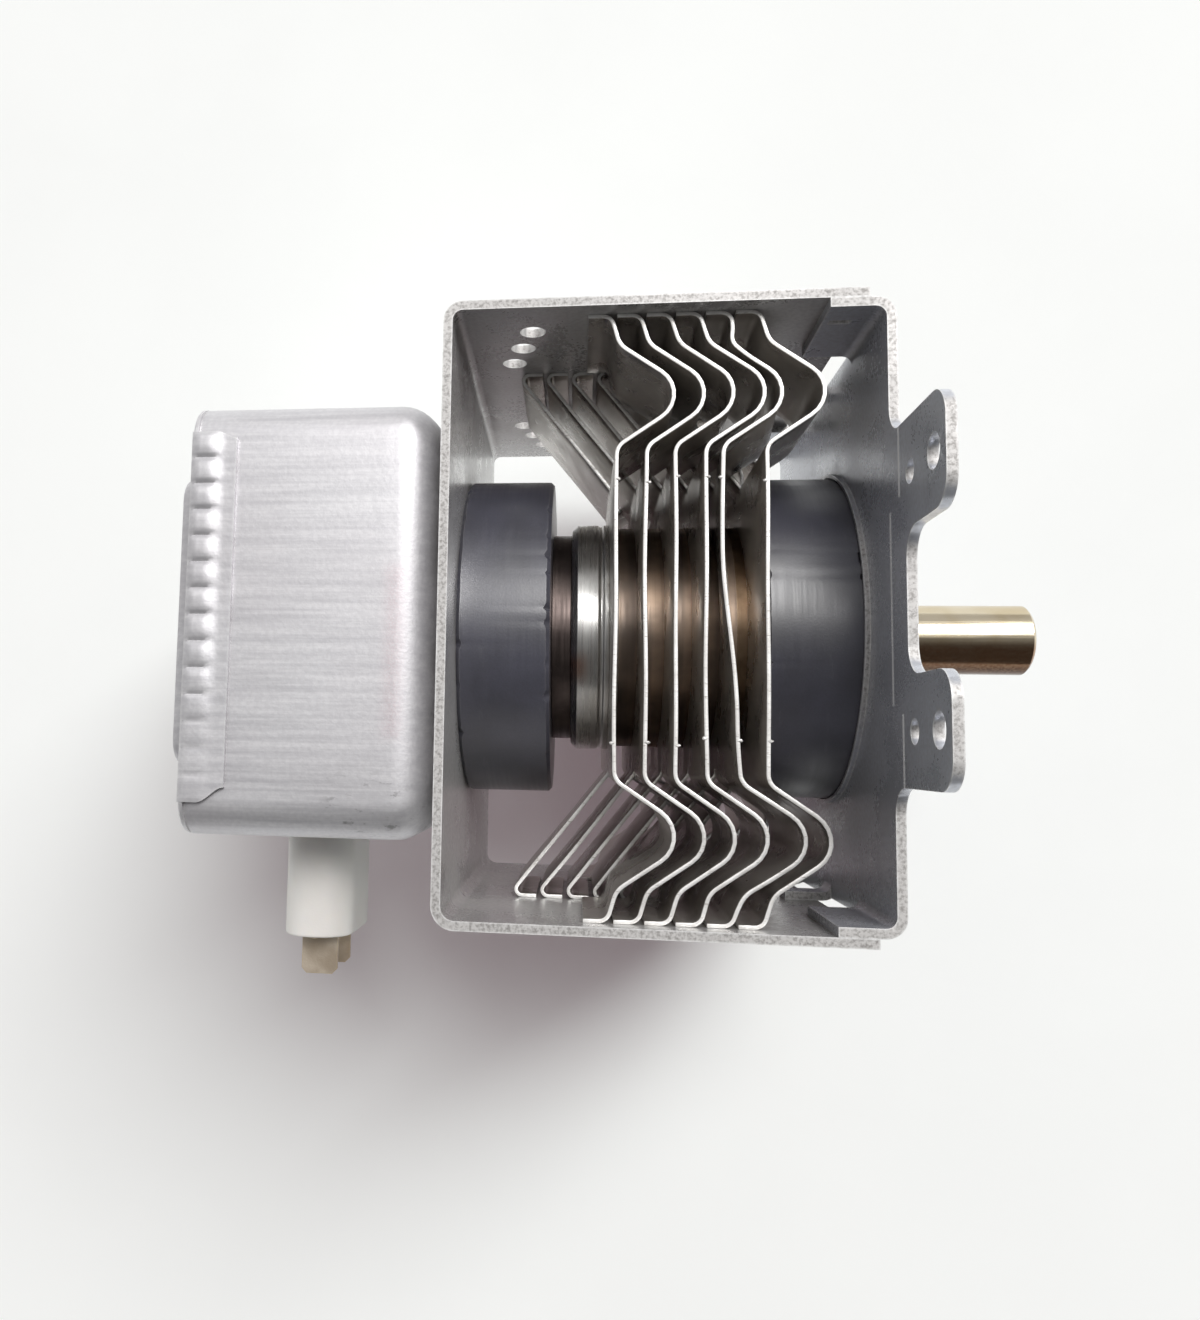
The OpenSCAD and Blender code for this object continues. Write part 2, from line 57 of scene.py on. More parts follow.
PHOTO_W, PHOTO_H = 1200.0, 1320.0
FOCAL_PX = 1022.4
AIM_PX = (448.2, 657.5)
EYE_MM = (-44.01, -20.48, 184.21)
TURN_DEG = (-5.182, -7.245, -0.897)
SENSOR_MM = 36.0
CLIP_M = (0.01, 10.0)


def make_camera():
    """Bench camera solved from the part's own corners, looking down on its open side."""
    data = bpy.data.cameras.new("bench_camera")
    data.sensor_fit = "VERTICAL"
    data.sensor_height = SENSOR_MM
    data.sensor_width = SENSOR_MM
    data.lens = FOCAL_PX / PHOTO_H * SENSOR_MM
    data.shift_x = (PHOTO_W / 2 - AIM_PX[0]) / PHOTO_H
    data.shift_y = (AIM_PX[1] - PHOTO_H / 2) / PHOTO_H
    data.clip_start, data.clip_end = CLIP_M
    turn = Vector([math.radians(a) for a in TURN_DEG])
    to_camera = Matrix.Rotation(turn.length, 3, turn.normalized())
    camera = bpy.data.objects.new("bench_camera", data)
    place = to_camera.transposed().to_4x4()
    place.translation = Vector(EYE_MM) * MM
    camera.matrix_world = place
    bpy.context.scene.collection.objects.link(camera)
    bpy.context.scene.camera = camera


# ---------------------------------------------------------------- node helpers

def add(tree, kind, at=(0, 0), **settings):
    node = tree.nodes.new(kind)
    node.location = at
    for key, value in settings.items():
        setattr(node, key, value)
    return node


def join(tree, source, target):
    tree.links.new(source, target)


def put(socket, value, tree=None):
    """A socket takes either a link from another socket or a plain value."""
    if isinstance(value, bpy.types.NodeSocket):
        tree.links.new(value, socket)
    else:
        socket.default_value = value


def rgb(red, green, blue):
    """Screen values 0 to 255 to the linear colour that a shader takes."""
    def linear(v):
        v = v / 255.0
        return v / 12.92 if v <= 0.04045 else ((v + 0.055) / 1.055) ** 2.4
    return (linear(red), linear(green), linear(blue), 1.0)


def coords(tree, scale=(1, 1, 1), turn=(0, 0, 0), at=(-1400, 0)):
    where = add(tree, "ShaderNodeTexCoord", at)
    mapping = add(tree, "ShaderNodeMapping", (at[0] + 180, at[1]))
    mapping.inputs["Scale"].default_value = scale
    mapping.inputs["Rotation"].default_value = turn
    join(tree, where.outputs["Object"], mapping.inputs["Vector"])
    return mapping.outputs["Vector"]


def noise_of(tree, vector, scale, detail=4.0, rough=0.55, at=(-1100, 0)):
    n = add(tree, "ShaderNodeTexNoise", at)
    n.inputs["Scale"].default_value = scale
    n.inputs["Detail"].default_value = detail
    n.inputs["Roughness"].default_value = rough
    join(tree, vector, n.inputs["Vector"])
    return n.outputs["Fac"]


def ramp_of(tree, source, low, high, out_low=0.0, out_high=1.0, at=(-900, 0)):
    r = add(tree, "ShaderNodeMapRange", at, interpolation_type="SMOOTHSTEP")
    put(r.inputs["Value"], source, tree)
    r.inputs["From Min"].default_value = low
    r.inputs["From Max"].default_value = high
    r.inputs["To Min"].default_value = out_low
    r.inputs["To Max"].default_value = out_high
    return r.outputs["Result"]


def math_of(tree, how, a, b=0.5, clamp=False, at=(-700, 0)):
    m = add(tree, "ShaderNodeMath", at, operation=how, use_clamp=clamp)
    put(m.inputs[0], a, tree)
    put(m.inputs[1], b, tree)
    return m.outputs[0]


def mix_of(tree, fac, a, b, at=(-500, 0), how="MIX"):
    m = add(tree, "ShaderNodeMix", at, data_type="RGBA", blend_type=how)
    put(m.inputs["Factor"], fac, tree)
    put(m.inputs["A"], a, tree)
    put(m.inputs["B"], b, tree)
    return m.outputs["Result"]


def bump_of(tree, height, distance, strength=1.0, under=None, at=(-300, -300)):
    b = add(tree, "ShaderNodeBump", at)
    b.inputs["Strength"].default_value = strength
    b.inputs["Distance"].default_value = distance
    join(tree, height, b.inputs["Height"])
    if under is not None:
        join(tree, under, b.inputs["Normal"])
    return b.outputs["Normal"]


# ---------------------------------------------------------------- shared effects (node groups)

def new_group(name, inputs, outputs):
    tree = bpy.data.node_groups.new(name, "ShaderNodeTree")
    for label, kind, value in inputs:
        socket = tree.interface.new_socket(label, in_out="INPUT", socket_type=kind)
        socket.default_value = value
    for label, kind in outputs:
        tree.interface.new_socket(label, in_out="OUTPUT", socket_type=kind)
    return tree, add(tree, "NodeGroupInput", (-1600, 0)), add(tree, "NodeGroupOutput", (600, 0))


FLOAT = "NodeSocketFloat"


def group_wear_and_edge_highlight():
    """Mask that is 1 on outer edges, for wear and a painted edge highlight, and 0 on the faces between them.
    """
    tree, ins, outs = new_group(
        "edge_wear_and_highlight",
        [("Radius", FLOAT, 0.0006), ("Breakup", FLOAT, 900.0), ("Amount", FLOAT, 1.0)],
        [("Mask", FLOAT)],
    )
    shape = add(tree, "ShaderNodeBevel", (-1300, 200), samples=6)
    join(tree, ins.outputs["Radius"], shape.inputs["Radius"])
    face = add(tree, "ShaderNodeNewGeometry", (-1300, -50))
    dot = add(tree, "ShaderNodeVectorMath", (-1080, 100), operation="DOT_PRODUCT")
    join(tree, shape.outputs["Normal"], dot.inputs[0])
    join(tree, face.outputs["Normal"], dot.inputs[1])
    sharp = ramp_of(tree, dot.outputs["Value"], 0.985, 0.86, at=(-860, 100))
    where = coords(tree, at=(-1300, -350))
    patch = add(tree, "ShaderNodeTexNoise", (-1000, -300))
    patch.inputs["Detail"].default_value = 4.0
    join(tree, where, patch.inputs["Vector"])
    join(tree, ins.outputs["Breakup"], patch.inputs["Scale"])
    broken = ramp_of(tree, patch.outputs["Fac"], 0.30, 0.58, 0.35, 1.0, at=(-800, -300))
    both = math_of(tree, "MULTIPLY", sharp, broken, at=(-500, 0))
    join(tree, math_of(tree, "MULTIPLY", both, ins.outputs["Amount"], True, (-250, 0)), outs.inputs["Mask"])
    return tree


def group_corner_shade():
    """Mask of painted shade in inner corners, from ambient occlusion, broken up by a soft cloud."""
    tree, ins, outs = new_group(
        "painted_corner_shade",
        [("Reach", FLOAT, 0.004), ("Cloud", FLOAT, 120.0), ("Amount", FLOAT, 1.0)],
        [("Mask", FLOAT)],
    )
    near = add(tree, "ShaderNodeAmbientOcclusion", (-1300, 200), samples=6)
    join(tree, ins.outputs["Reach"], near.inputs["Distance"])
    deep = ramp_of(tree, near.outputs["AO"], 0.85, 0.25, at=(-1000, 200))
    where = coords(tree, at=(-1400, -300))
    cloud = add(tree, "ShaderNodeTexNoise", (-1050, -300))
    cloud.inputs["Detail"].default_value = 5.0
    join(tree, where, cloud.inputs["Vector"])
    join(tree, ins.outputs["Cloud"], cloud.inputs["Scale"])
    patch = ramp_of(tree, cloud.outputs["Fac"], 0.35, 0.65, 0.3, 1.0, at=(-800, -300))
    both = math_of(tree, "MULTIPLY", deep, patch, at=(-500, 0))
    join(tree, math_of(tree, "MULTIPLY", both, ins.outputs["Amount"], True, (-250, 0)), outs.inputs["Mask"])
    return tree


def group_sheet_scratches():
    """Fine rolled-sheet scratches in two directions: a mask and a height."""
    tree, ins, outs = new_group(
        "sheet_scratches",
        [("Along", FLOAT, 40.0), ("Across", FLOAT, 2600.0), ("Density", FLOAT, 0.5)],
        [("Mask", FLOAT), ("Height", FLOAT)],
    )
    where = add(tree, "ShaderNodeTexCoord", (-1500, 300))
    total = None
    for index, axis in enumerate(("X", "Y")):
        stretch = add(tree, "ShaderNodeCombineXYZ", (-1300, 200 - 400 * index))
        for other in "XYZ":
            source = ins.outputs["Along" if other == axis else "Across"]
            join(tree, source, stretch.inputs[other])
        scaled = add(tree, "ShaderNodeVectorMath", (-1100, 200 - 400 * index), operation="MULTIPLY")
        join(tree, where.outputs["Object"], scaled.inputs[0])
        join(tree, stretch.outputs[0], scaled.inputs[1])
        lines = noise_of(tree, scaled.outputs[0], 1.0, 2.0, 0.6, at=(-900, 200 - 400 * index))
        thin = ramp_of(tree, lines, 0.60, 0.74, at=(-700, 200 - 400 * index))
        total = thin if total is None else math_of(tree, "MAXIMUM", total, thin, at=(-500, 0))
    patchy = noise_of(tree, where.outputs["Object"], 90.0, 3.0, 0.5, at=(-900, -700))
    spread = ramp_of(tree, patchy, 0.40, 0.62, 0.1, 1.0, at=(-700, -700))
    shown = math_of(tree, "MULTIPLY", total, spread, at=(-300, 0))
    shown = math_of(tree, "MULTIPLY", shown, ins.outputs["Density"], True, (-100, 0))
    join(tree, shown, outs.inputs["Mask"])
    join(tree, math_of(tree, "SUBTRACT", 1.0, shown, at=(100, -200)), outs.inputs["Height"])
    return tree


def group_mottle():
    """Soft cloud and fine speckle that break up an even finish."""
    tree, ins, outs = new_group(
        "finish_mottle",
        [("Cloud Scale", FLOAT, 60.0), ("Speckle Scale", FLOAT, 2500.0)],
        [("Cloud", FLOAT), ("Speckle", FLOAT)],
    )
    where = coords(tree, at=(-1400, 0))
    for label, height, low, high in (("Cloud", 200, 0.30, 0.70), ("Speckle", -200, 0.32, 0.68)):
        patch = add(tree, "ShaderNodeTexNoise", (-1000, height))
        patch.inputs["Detail"].default_value = 5.0
        join(tree, where, patch.inputs["Vector"])
        join(tree, ins.outputs[label + " Scale"], patch.inputs["Scale"])
        join(tree, ramp_of(tree, patch.outputs["Fac"], low, high, at=(-700, height)), outs.inputs[label])
    return tree


# ---------------------------------------------------------------- materials

class Finish:
    """One material: its tree, its Principled shader and short ways to place nodes in it."""

    def __init__(self, name):
        self.material = bpy.data.materials.new(name)
        self.material.use_nodes = True
        self.tree = self.material.node_tree
        self.shader = self.tree.nodes["Principled BSDF"]

    def effect(self, group, at=(-1200, 0), **values):
        node = add(self.tree, "ShaderNodeGroup", at, node_tree=group)
        for label, value in values.items():
            node.inputs[label.replace("_", " ")].default_value = value
        return node.outputs

    def set(self, label, value):
        put(self.shader.inputs[label], value, self.tree)

    def place(self, scale=(1, 1, 1), turn=(0, 0, 0), at=(-1400, 0)):
        return coords(self.tree, scale, turn, at)

    def noise(self, vector, scale, detail=4.0, rough=0.55):
        return noise_of(self.tree, vector, scale, detail, rough)

    def ramp(self, source, low, high, out_low=0.0, out_high=1.0):
        return ramp_of(self.tree, source, low, high, out_low, out_high)

    def maths(self, how, a, b=0.5, clamp=False):
        return math_of(self.tree, how, a, b, clamp)

    def mix(self, fac, a, b, how="MIX"):
        return mix_of(self.tree, fac, a, b, how=how)

    def bump(self, height, distance, strength=1.0, under=None):
        return bump_of(self.tree, height, distance, strength, under)


def zinc_steel(name, effects, dull, bright, with_line_highlights=False):
    """Zinc-plated pressed sheet of the yoke and the mounting plate."""
    f = Finish(name)
    mottle = f.effect(effects["mottle"], Cloud_Scale=70.0, Speckle_Scale=1500.0)
    # The plate lies square to the rolling direction, so its hairlines hardly show.
    scratch = f.effect(effects["scratches"], Along=30.0, Across=2200.0, Density=0.08 if with_line_highlights else 0.5)
    wear_and_highlight = f.effect(effects["wear_and_highlight"], Radius=0.0005, Breakup=1100.0, Amount=1.0)
    corner_shade = f.effect(effects["corner_shade"], Reach=0.006, Cloud=140.0, Amount=0.6)
    cut = sheared_mask(f)
    colour = f.mix(mottle["Cloud"], dull, bright)
    colour = f.mix(f.maths("MULTIPLY", mottle["Speckle"], 0.3), colour, rgb(170, 169, 170))
    colour = f.mix(f.maths("MULTIPLY", scratch["Mask"], 0.5), colour, rgb(214, 213, 211))
    # Painted shade: darker in inner corners where the occlusion mask is high.
    colour = f.mix(corner_shade["Mask"], colour, rgb(104, 99, 94))
    torn = f.noise(f.place((1900.0, 1900.0, 1900.0)), 1.0, 3.0, 0.7)
    bare = f.mix(f.ramp(torn, 0.40, 0.70), rgb(206, 204, 203), rgb(150, 147, 145))
    colour = f.mix(cut, colour, bare)
    # Lighter outer edges: wear, and a painted edge highlight.
    colour = f.mix(wear_and_highlight["Mask"], colour, rgb(238, 238, 238))
    metallic = f.ramp(cut, 0.0, 1.0, 0.58, 0.40)
    # Painted highlight: thin bright, less metallic lines along the plate's press lines.
    if with_line_highlights:
        press_line_highlight = press_line_highlight_mask(f)
        colour = f.mix(press_line_highlight, colour, rgb(244, 244, 246))
        metallic = f.maths("MULTIPLY", metallic, f.ramp(press_line_highlight, 0.0, 1.0, 1.0, 0.1))
    f.set("Base Color", colour)
    f.set("Metallic", metallic)
    rough = f.ramp(mottle["Cloud"], 0.0, 1.0, 0.21, 0.31)
    rough = f.maths("ADD", rough, f.maths("MULTIPLY", mottle["Speckle"], 0.06))
    rough = f.maths("ADD", rough, f.maths("MULTIPLY", scratch["Mask"], 0.12))
    rough = f.maths("ADD", rough, f.maths("MULTIPLY", cut, 0.30))
    rough = f.maths("ADD", rough, f.maths("MULTIPLY", corner_shade["Mask"], 0.25), True)
    f.set("Roughness", rough)
    grain = f.bump(mottle["Speckle"], 0.00005, 0.03)
    f.set("Normal", f.bump(scratch["Height"], 0.00004, 0.35, grain))
    return f.material


def aluminised_sheet(effects):
    """Matt aluminium-coated sheet of the filter case: faint rolling smears, grain, scuffs and a stain."""
    f = Finish("aluminised_sheet")
    mottle = f.effect(effects["mottle"], Cloud_Scale=38.0, Speckle_Scale=1500.0)
    fine = f.effect(effects["mottle"], Cloud_Scale=420.0, Speckle_Scale=4200.0)
    wear_and_highlight = f.effect(effects["wear_and_highlight"], Radius=0.0007, Breakup=800.0, Amount=0.7)
    corner_shade = f.effect(effects["corner_shade"], Reach=0.004, Cloud=160.0, Amount=0.5)
    rolled = f.noise(f.place((34.0, 900.0, 900.0)), 1.0, 5.0, 0.65)
    hair = f.noise(f.place((45.0, 2600.0, 2600.0)), 1.0, 2.0, 0.6)
    colour = f.mix(f.ramp(rolled, 0.32, 0.68), rgb(217, 216, 220), rgb(233, 232, 235))
    colour = f.mix(f.maths("MULTIPLY", mottle["Speckle"], 0.30), colour, rgb(198, 197, 202))
    colour = f.mix(f.maths("MULTIPLY", f.ramp(hair, 0.62, 0.76), 0.35), colour, rgb(228, 228, 229))
    colour = f.mix(f.maths("MULTIPLY", mottle["Cloud"], 0.22), colour, rgb(205, 199, 203))
    colour = f.mix(f.maths("MULTIPLY", stain_mask(f, fine), 0.34), colour, rgb(206, 178, 184))
    colour = f.mix(f.maths("MULTIPLY", scuff_mask(f), 0.6), colour, rgb(120, 118, 118))
    # Painted shade: darker in inner corners where the occlusion mask is high.
    colour = f.mix(corner_shade["Mask"], colour, rgb(112, 107, 103))
    # Lighter outer edges: wear, and a painted edge highlight.
    colour = f.mix(wear_and_highlight["Mask"], colour, rgb(240, 240, 240))
    f.set("Base Color", colour)
    f.set("Metallic", 0.72)
    f.set("Roughness", f.ramp(rolled, 0.25, 0.75, 0.43, 0.52))
    grain = f.bump(mottle["Speckle"], 0.00004, 0.16)
    f.set("Normal", f.bump(hair, 0.00003, 0.25, grain))
    return f.material


def patch_mask(f, low, high, soft):
    """Soft-edged box in the part's own frame, in mm: 1 inside it."""
    where = add(f.tree, "ShaderNodeTexCoord", (-1800, -900))
    split = add(f.tree, "ShaderNodeSeparateXYZ", (-1650, -900))
    join(f.tree, where.outputs["Object"], split.inputs[0])
    mask = None
    for axis, a, b in zip("XYZ", low, high):
        if a is None:
            continue
        up = f.ramp(split.outputs[axis], (a - soft) * MM, (a + soft) * MM)
        down = f.ramp(split.outputs[axis], (b - soft) * MM, (b + soft) * MM, 1.0, 0.0)
        both = f.maths("MULTIPLY", up, down)
        mask = both if mask is None else f.maths("MULTIPLY", mask, both)
    return mask


def sheared_mask(f):
    """1 on the sheet's cut edges that face straight to the front or the back."""
    where = add(f.tree, "ShaderNodeTexCoord", (-1800, -1300))
    split = add(f.tree, "ShaderNodeSeparateXYZ", (-1650, -1300))
    join(f.tree, where.outputs["Normal"], split.inputs[0])
    return f.ramp(f.maths("ABSOLUTE", split.outputs["Z"]), 0.75, 0.95)


# Painted highlights along the press lines on the plate's inner face, in mm: (y from, y to, z).
PLATE_LINE_HIGHLIGHTS = ((-13.4, 13.4, 38.4), (-27.0, -14.6, 42.5), (14.6, 27.0, 42.5))


def press_line_highlight_mask(f):
    """1 on the thin press lines along the mounting plate's inner face, where a bright line is painted as
    highlight.
    """
    mask = None
    for y0, y1, z in PLATE_LINE_HIGHLIGHTS:
        line = patch_mask(f, (-1.7, y0, z - 0.35), (-1.1, y1, z + 0.35), 0.15)
        mask = line if mask is None else f.maths("MAXIMUM", mask, line)
    return mask


def stain_mask(f, fine):
    """Speckled stain beside the case's rounded end."""
    box = patch_mask(f, (-74.0, -19.0, 20.0), (-71.2, 8.0, 40.0), 1.4)
    return f.maths("MULTIPLY", box, f.ramp(fine["Speckle"], 0.1, 0.9, 0.35, 1.0))


def scuff_mask(f):
    """Dark rub marks near the case's lower edge."""
    box = patch_mask(f, (-82.0, -34.5, 15.0), (-68.0, -25.5, 40.0), 2.5)
    marks = f.noise(f.place((260.0, 620.0, 400.0)), 1.0, 4.0, 0.7)
    return f.maths("MULTIPLY", box, f.ramp(marks, 0.56, 0.66))


def ferrite(effects):
    """Fired ferrite of the ring magnets: charcoal, slightly blue, ground smooth, chipped rims."""
    f = Finish("ferrite")
    mottle = f.effect(effects["mottle"], Cloud_Scale=90.0, Speckle_Scale=3200.0)
    wear_and_highlight = f.effect(effects["wear_and_highlight"], Radius=0.0005, Breakup=520.0, Amount=0.5)
    ground = f.noise(f.place((2400.0, 60.0, 60.0)), 1.0, 3.0, 0.6)
    rub = f.noise(f.place((700.0, 120.0, 120.0)), 1.0, 4.0, 0.7)
    colour = f.mix(mottle["Cloud"], rgb(58, 58, 68), rgb(71, 71, 84))
    colour = f.mix(f.maths("MULTIPLY", mottle["Speckle"], 0.25), colour, rgb(48, 47, 52))
    colour = f.mix(f.maths("MULTIPLY", f.ramp(rub, 0.60, 0.75), 0.35), colour, rgb(96, 95, 102))
    # Lighter outer edges: wear, and a painted edge highlight.
    colour = f.mix(wear_and_highlight["Mask"], colour, rgb(132, 130, 132))
    f.set("Base Color", colour)
    f.set("Metallic", 0.0)
    f.set("Specular IOR Level", 1.0)
    f.set("Coat Weight", 0.9)
    f.set("Coat Roughness", 0.40)
    f.set("Roughness", f.ramp(ground, 0.3, 0.7, 0.32, 0.42))
    grain = f.bump(mottle["Speckle"], 0.00003, 0.18)
    f.set("Normal", f.bump(ground, 0.00002, 0.15, grain))
    return f.material


def fin_aluminium(effects):
    """Thin rolled aluminium of the cooling fins."""
    f = Finish("fin_aluminium")
    mottle = f.effect(effects["mottle"], Cloud_Scale=150.0, Speckle_Scale=3000.0)
    scratch = f.effect(effects["scratches"], Along=50.0, Across=3000.0, Density=0.7)
    wear_and_highlight = f.effect(effects["wear_and_highlight"], Radius=0.0003, Breakup=1500.0, Amount=0.9)
    corner_shade = f.effect(effects["corner_shade"], Reach=0.003, Cloud=220.0, Amount=0.5)
    colour = f.mix(mottle["Cloud"], rgb(196, 190, 184), rgb(216, 211, 205))
    colour = f.mix(f.maths("MULTIPLY", scratch["Mask"], 0.4), colour, rgb(168, 164, 160))
    # Painted shade: darker in inner corners where the occlusion mask is high.
    colour = f.mix(corner_shade["Mask"], colour, rgb(110, 98, 88))
    # Lighter outer edges: wear, and a painted edge highlight.
    colour = f.mix(wear_and_highlight["Mask"], colour, rgb(244, 244, 243))
    f.set("Base Color", colour)
    f.set("Metallic", 0.82)
    f.set("Roughness", f.ramp(mottle["Cloud"], 0.0, 1.0, 0.26, 0.38))
    f.set("Normal", f.bump(scratch["Height"], 0.00003, 0.35))
    return f.material


def fin_cut_edge(effects):
    """Sheared edge of the fins: bright, with short tear marks across it."""
    f = Finish("fin_cut_edge")
    mottle = f.effect(effects["mottle"], Cloud_Scale=300.0, Speckle_Scale=3600.0)
    tears = f.noise(f.place((900.0, 4200.0, 900.0)), 1.0, 2.0, 0.6)
    colour = f.mix(mottle["Cloud"], rgb(222, 220, 217), rgb(246, 245, 243))
    colour = f.mix(f.maths("MULTIPLY", f.ramp(tears, 0.58, 0.72), 0.55), colour, rgb(140, 132, 124))
    f.set("Base Color", colour)
    f.set("Metallic", 0.45)
    f.set("Roughness", f.ramp(mottle["Speckle"], 0.0, 1.0, 0.35, 0.5))
    f.set("Normal", f.bump(tears, 0.00004, 0.4))
    return f.material


# Painted reflection: warm pinkish-brown spot on the bright cup, in mm: lowest corner, highest corner, soft
# border.
REFLECTION_SPOT = ((-49.0, -9.0, 8.0), (-42.8, -5.0, 30.0), 1.6)


def turned_metal(name, effects, dark, light, rough, tint=None, painted_reflection=None):
    """Turned or drawn round metal about the tube's axis: rings of fine tool marks."""
    f = Finish(name)
    mottle = f.effect(effects["mottle"], Cloud_Scale=130.0, Speckle_Scale=2400.0)
    wear_and_highlight = f.effect(effects["wear_and_highlight"], Radius=0.0004, Breakup=900.0, Amount=0.6)
    rings = f.noise(f.place((2600.0, 40.0, 40.0)), 1.0, 3.0, 0.65)
    colour = f.mix(mottle["Cloud"], dark, light)
    if tint is not None:
        bands = f.noise(f.place((260.0, 30.0, 30.0)), 1.0, 2.0, 0.5)
        colour = f.mix(f.ramp(bands, 0.45, 0.70, 0.0, 0.8), colour, tint)
    colour = f.mix(f.maths("MULTIPLY", f.ramp(rings, 0.55, 0.72), 0.35), colour, dark)
    # Painted reflection: a warm pinkish-brown spot on the cup.
    if painted_reflection is not None:
        reflection_spot = patch_mask(f, *REFLECTION_SPOT)
        patchy = f.ramp(mottle["Cloud"], 0.0, 1.0, 0.4, 0.75)
        colour = f.mix(f.maths("MULTIPLY", reflection_spot, patchy), colour, painted_reflection)
    # Lighter outer edges: wear, and a painted edge highlight.
    colour = f.mix(f.maths("MULTIPLY", wear_and_highlight["Mask"], 0.6), colour, light)
    f.set("Base Color", colour)
    f.set("Metallic", 1.0)
    f.set("Roughness", f.ramp(rings, 0.3, 0.7, rough[0], rough[1]))
    f.set("Normal", f.bump(rings, 0.00003, 0.3))
    return f.material


def alumina(effects):
    """White fired alumina of the insulators."""
    f = Finish("alumina")
    mottle = f.effect(effects["mottle"], Cloud_Scale=200.0, Speckle_Scale=3600.0)
    colour = f.mix(mottle["Cloud"], rgb(228, 222, 210), rgb(240, 236, 228))
    colour = f.mix(f.maths("MULTIPLY", mottle["Speckle"], 0.2), colour, rgb(206, 198, 186))
    f.set("Base Color", colour)
    f.set("Roughness", f.ramp(mottle["Cloud"], 0.0, 1.0, 0.45, 0.60))
    f.set("Normal", f.bump(mottle["Speckle"], 0.00003, 0.3))
    return f.material


def cream_plastic(effects):
    """Moulded cream plastic of the feed-through capacitor."""
    f = Finish("cream_plastic")
    mottle = f.effect(effects["mottle"], Cloud_Scale=90.0, Speckle_Scale=2800.0)
    wear_and_highlight = f.effect(effects["wear_and_highlight"], Radius=0.0005, Breakup=700.0, Amount=0.35)
    corner_shade = f.effect(effects["corner_shade"], Reach=0.004, Cloud=180.0, Amount=0.35)
    colour = f.mix(mottle["Cloud"], rgb(244, 240, 236), rgb(250, 247, 243))
    # Painted shade: darker in inner corners where the occlusion mask is high.
    colour = f.mix(corner_shade["Mask"], colour, rgb(178, 156, 136))
    # Lighter outer edges: wear, and a painted edge highlight.
    colour = f.mix(wear_and_highlight["Mask"], colour, rgb(247, 243, 236))
    f.set("Base Color", colour)
    f.set("Roughness", f.ramp(mottle["Cloud"], 0.0, 1.0, 0.36, 0.48))
    f.set("Subsurface Weight", 0.08)
    f.set("Subsurface Radius", (0.004, 0.003, 0.002))
    f.set("Normal", f.bump(mottle["Speckle"], 0.00002, 0.3))
    return f.material


def tinned_brass(effects):
    """Tinned brass of the push-on tabs."""
    f = Finish("tinned_brass")
    mottle = f.effect(effects["mottle"], Cloud_Scale=240.0, Speckle_Scale=2600.0)
    wear_and_highlight = f.effect(effects["wear_and_highlight"], Radius=0.0003, Breakup=900.0, Amount=0.7)
    colour = f.mix(mottle["Cloud"], rgb(206, 188, 166), rgb(224, 210, 192))
    # Lighter outer edges: wear, and a painted edge highlight.
    colour = f.mix(wear_and_highlight["Mask"], colour, rgb(226, 206, 160))
    f.set("Base Color", colour)
    f.set("Metallic", 0.6)
    f.set("Roughness", f.ramp(mottle["Cloud"], 0.0, 1.0, 0.32, 0.46))
    f.set("Normal", f.bump(mottle["Speckle"], 0.00003, 0.3))
    return f.material


def plated_cap(effects):
    """Bright nickel-plated antenna cap, brown and dark along its underside: partly heat tint, partly painted
    shade and dark reflection.
    """
    f = Finish("plated_cap")
    mottle = f.effect(effects["mottle"], Cloud_Scale=160.0, Speckle_Scale=2600.0)
    wear_and_highlight = f.effect(effects["wear_and_highlight"], Radius=0.0004, Breakup=900.0, Amount=0.7)
    drawn = f.noise(f.place((40.0, 1500.0, 1500.0)), 1.0, 3.0, 0.6)
    colour = f.mix(mottle["Cloud"], rgb(214, 198, 166), rgb(226, 214, 190))
    underside_brown_shade = patch_mask(f, (None, -12.0, None), (None, -1.2, None), 1.2)
    underside_dark_shade = patch_mask(f, (None, -12.0, None), (None, -4.4, None), 1.1)
    blotch = f.ramp(mottle["Speckle"], 0.0, 1.0, 0.75, 0.95)
    # Brown along the underside: heat tint and painted shade.
    colour = f.mix(f.maths("MULTIPLY", underside_brown_shade, blotch), colour, rgb(158, 114, 84))
    # Painted shade and dark reflection along the underside.
    colour = f.mix(f.maths("MULTIPLY", underside_dark_shade, blotch), colour, rgb(74, 56, 46))
    # Lighter outer edges: wear, and a painted edge highlight.
    colour = f.mix(wear_and_highlight["Mask"], colour, rgb(240, 236, 224))
    f.set("Base Color", colour)
    f.set("Metallic", 1.0)
    f.set("Roughness", f.ramp(drawn, 0.3, 0.7, 0.14, 0.24))
    f.set("Normal", f.bump(drawn, 0.00002, 0.25))
    return f.material


def wire_mesh(effects):
    """Knitted wire of the contact gasket."""
    f = Finish("wire_mesh")
    mottle = f.effect(effects["mottle"], Cloud_Scale=300.0, Speckle_Scale=2400.0)
    colour = f.mix(mottle["Cloud"], rgb(150, 144, 134), rgb(206, 200, 190))
    f.set("Base Color", colour)
    f.set("Metallic", 0.95)
    f.set("Roughness", f.ramp(mottle["Speckle"], 0.0, 1.0, 0.25, 0.40))
    f.set("Normal", f.bump(mottle["Speckle"], 0.0001, 0.4))
    return f.material


def enamelled_wire(effects):
    """Enamelled copper wire of the chokes."""
    f = Finish("enamelled_wire")
    mottle = f.effect(effects["mottle"], Cloud_Scale=260.0, Speckle_Scale=2400.0)
    f.set("Base Color", f.mix(mottle["Cloud"], rgb(146, 74, 40), rgb(176, 98, 56)))
    f.set("Metallic", 0.7)
    f.set("Roughness", f.ramp(mottle["Speckle"], 0.0, 1.0, 0.22, 0.36))
    f.set("Coat Weight", 0.4)
    return f.material


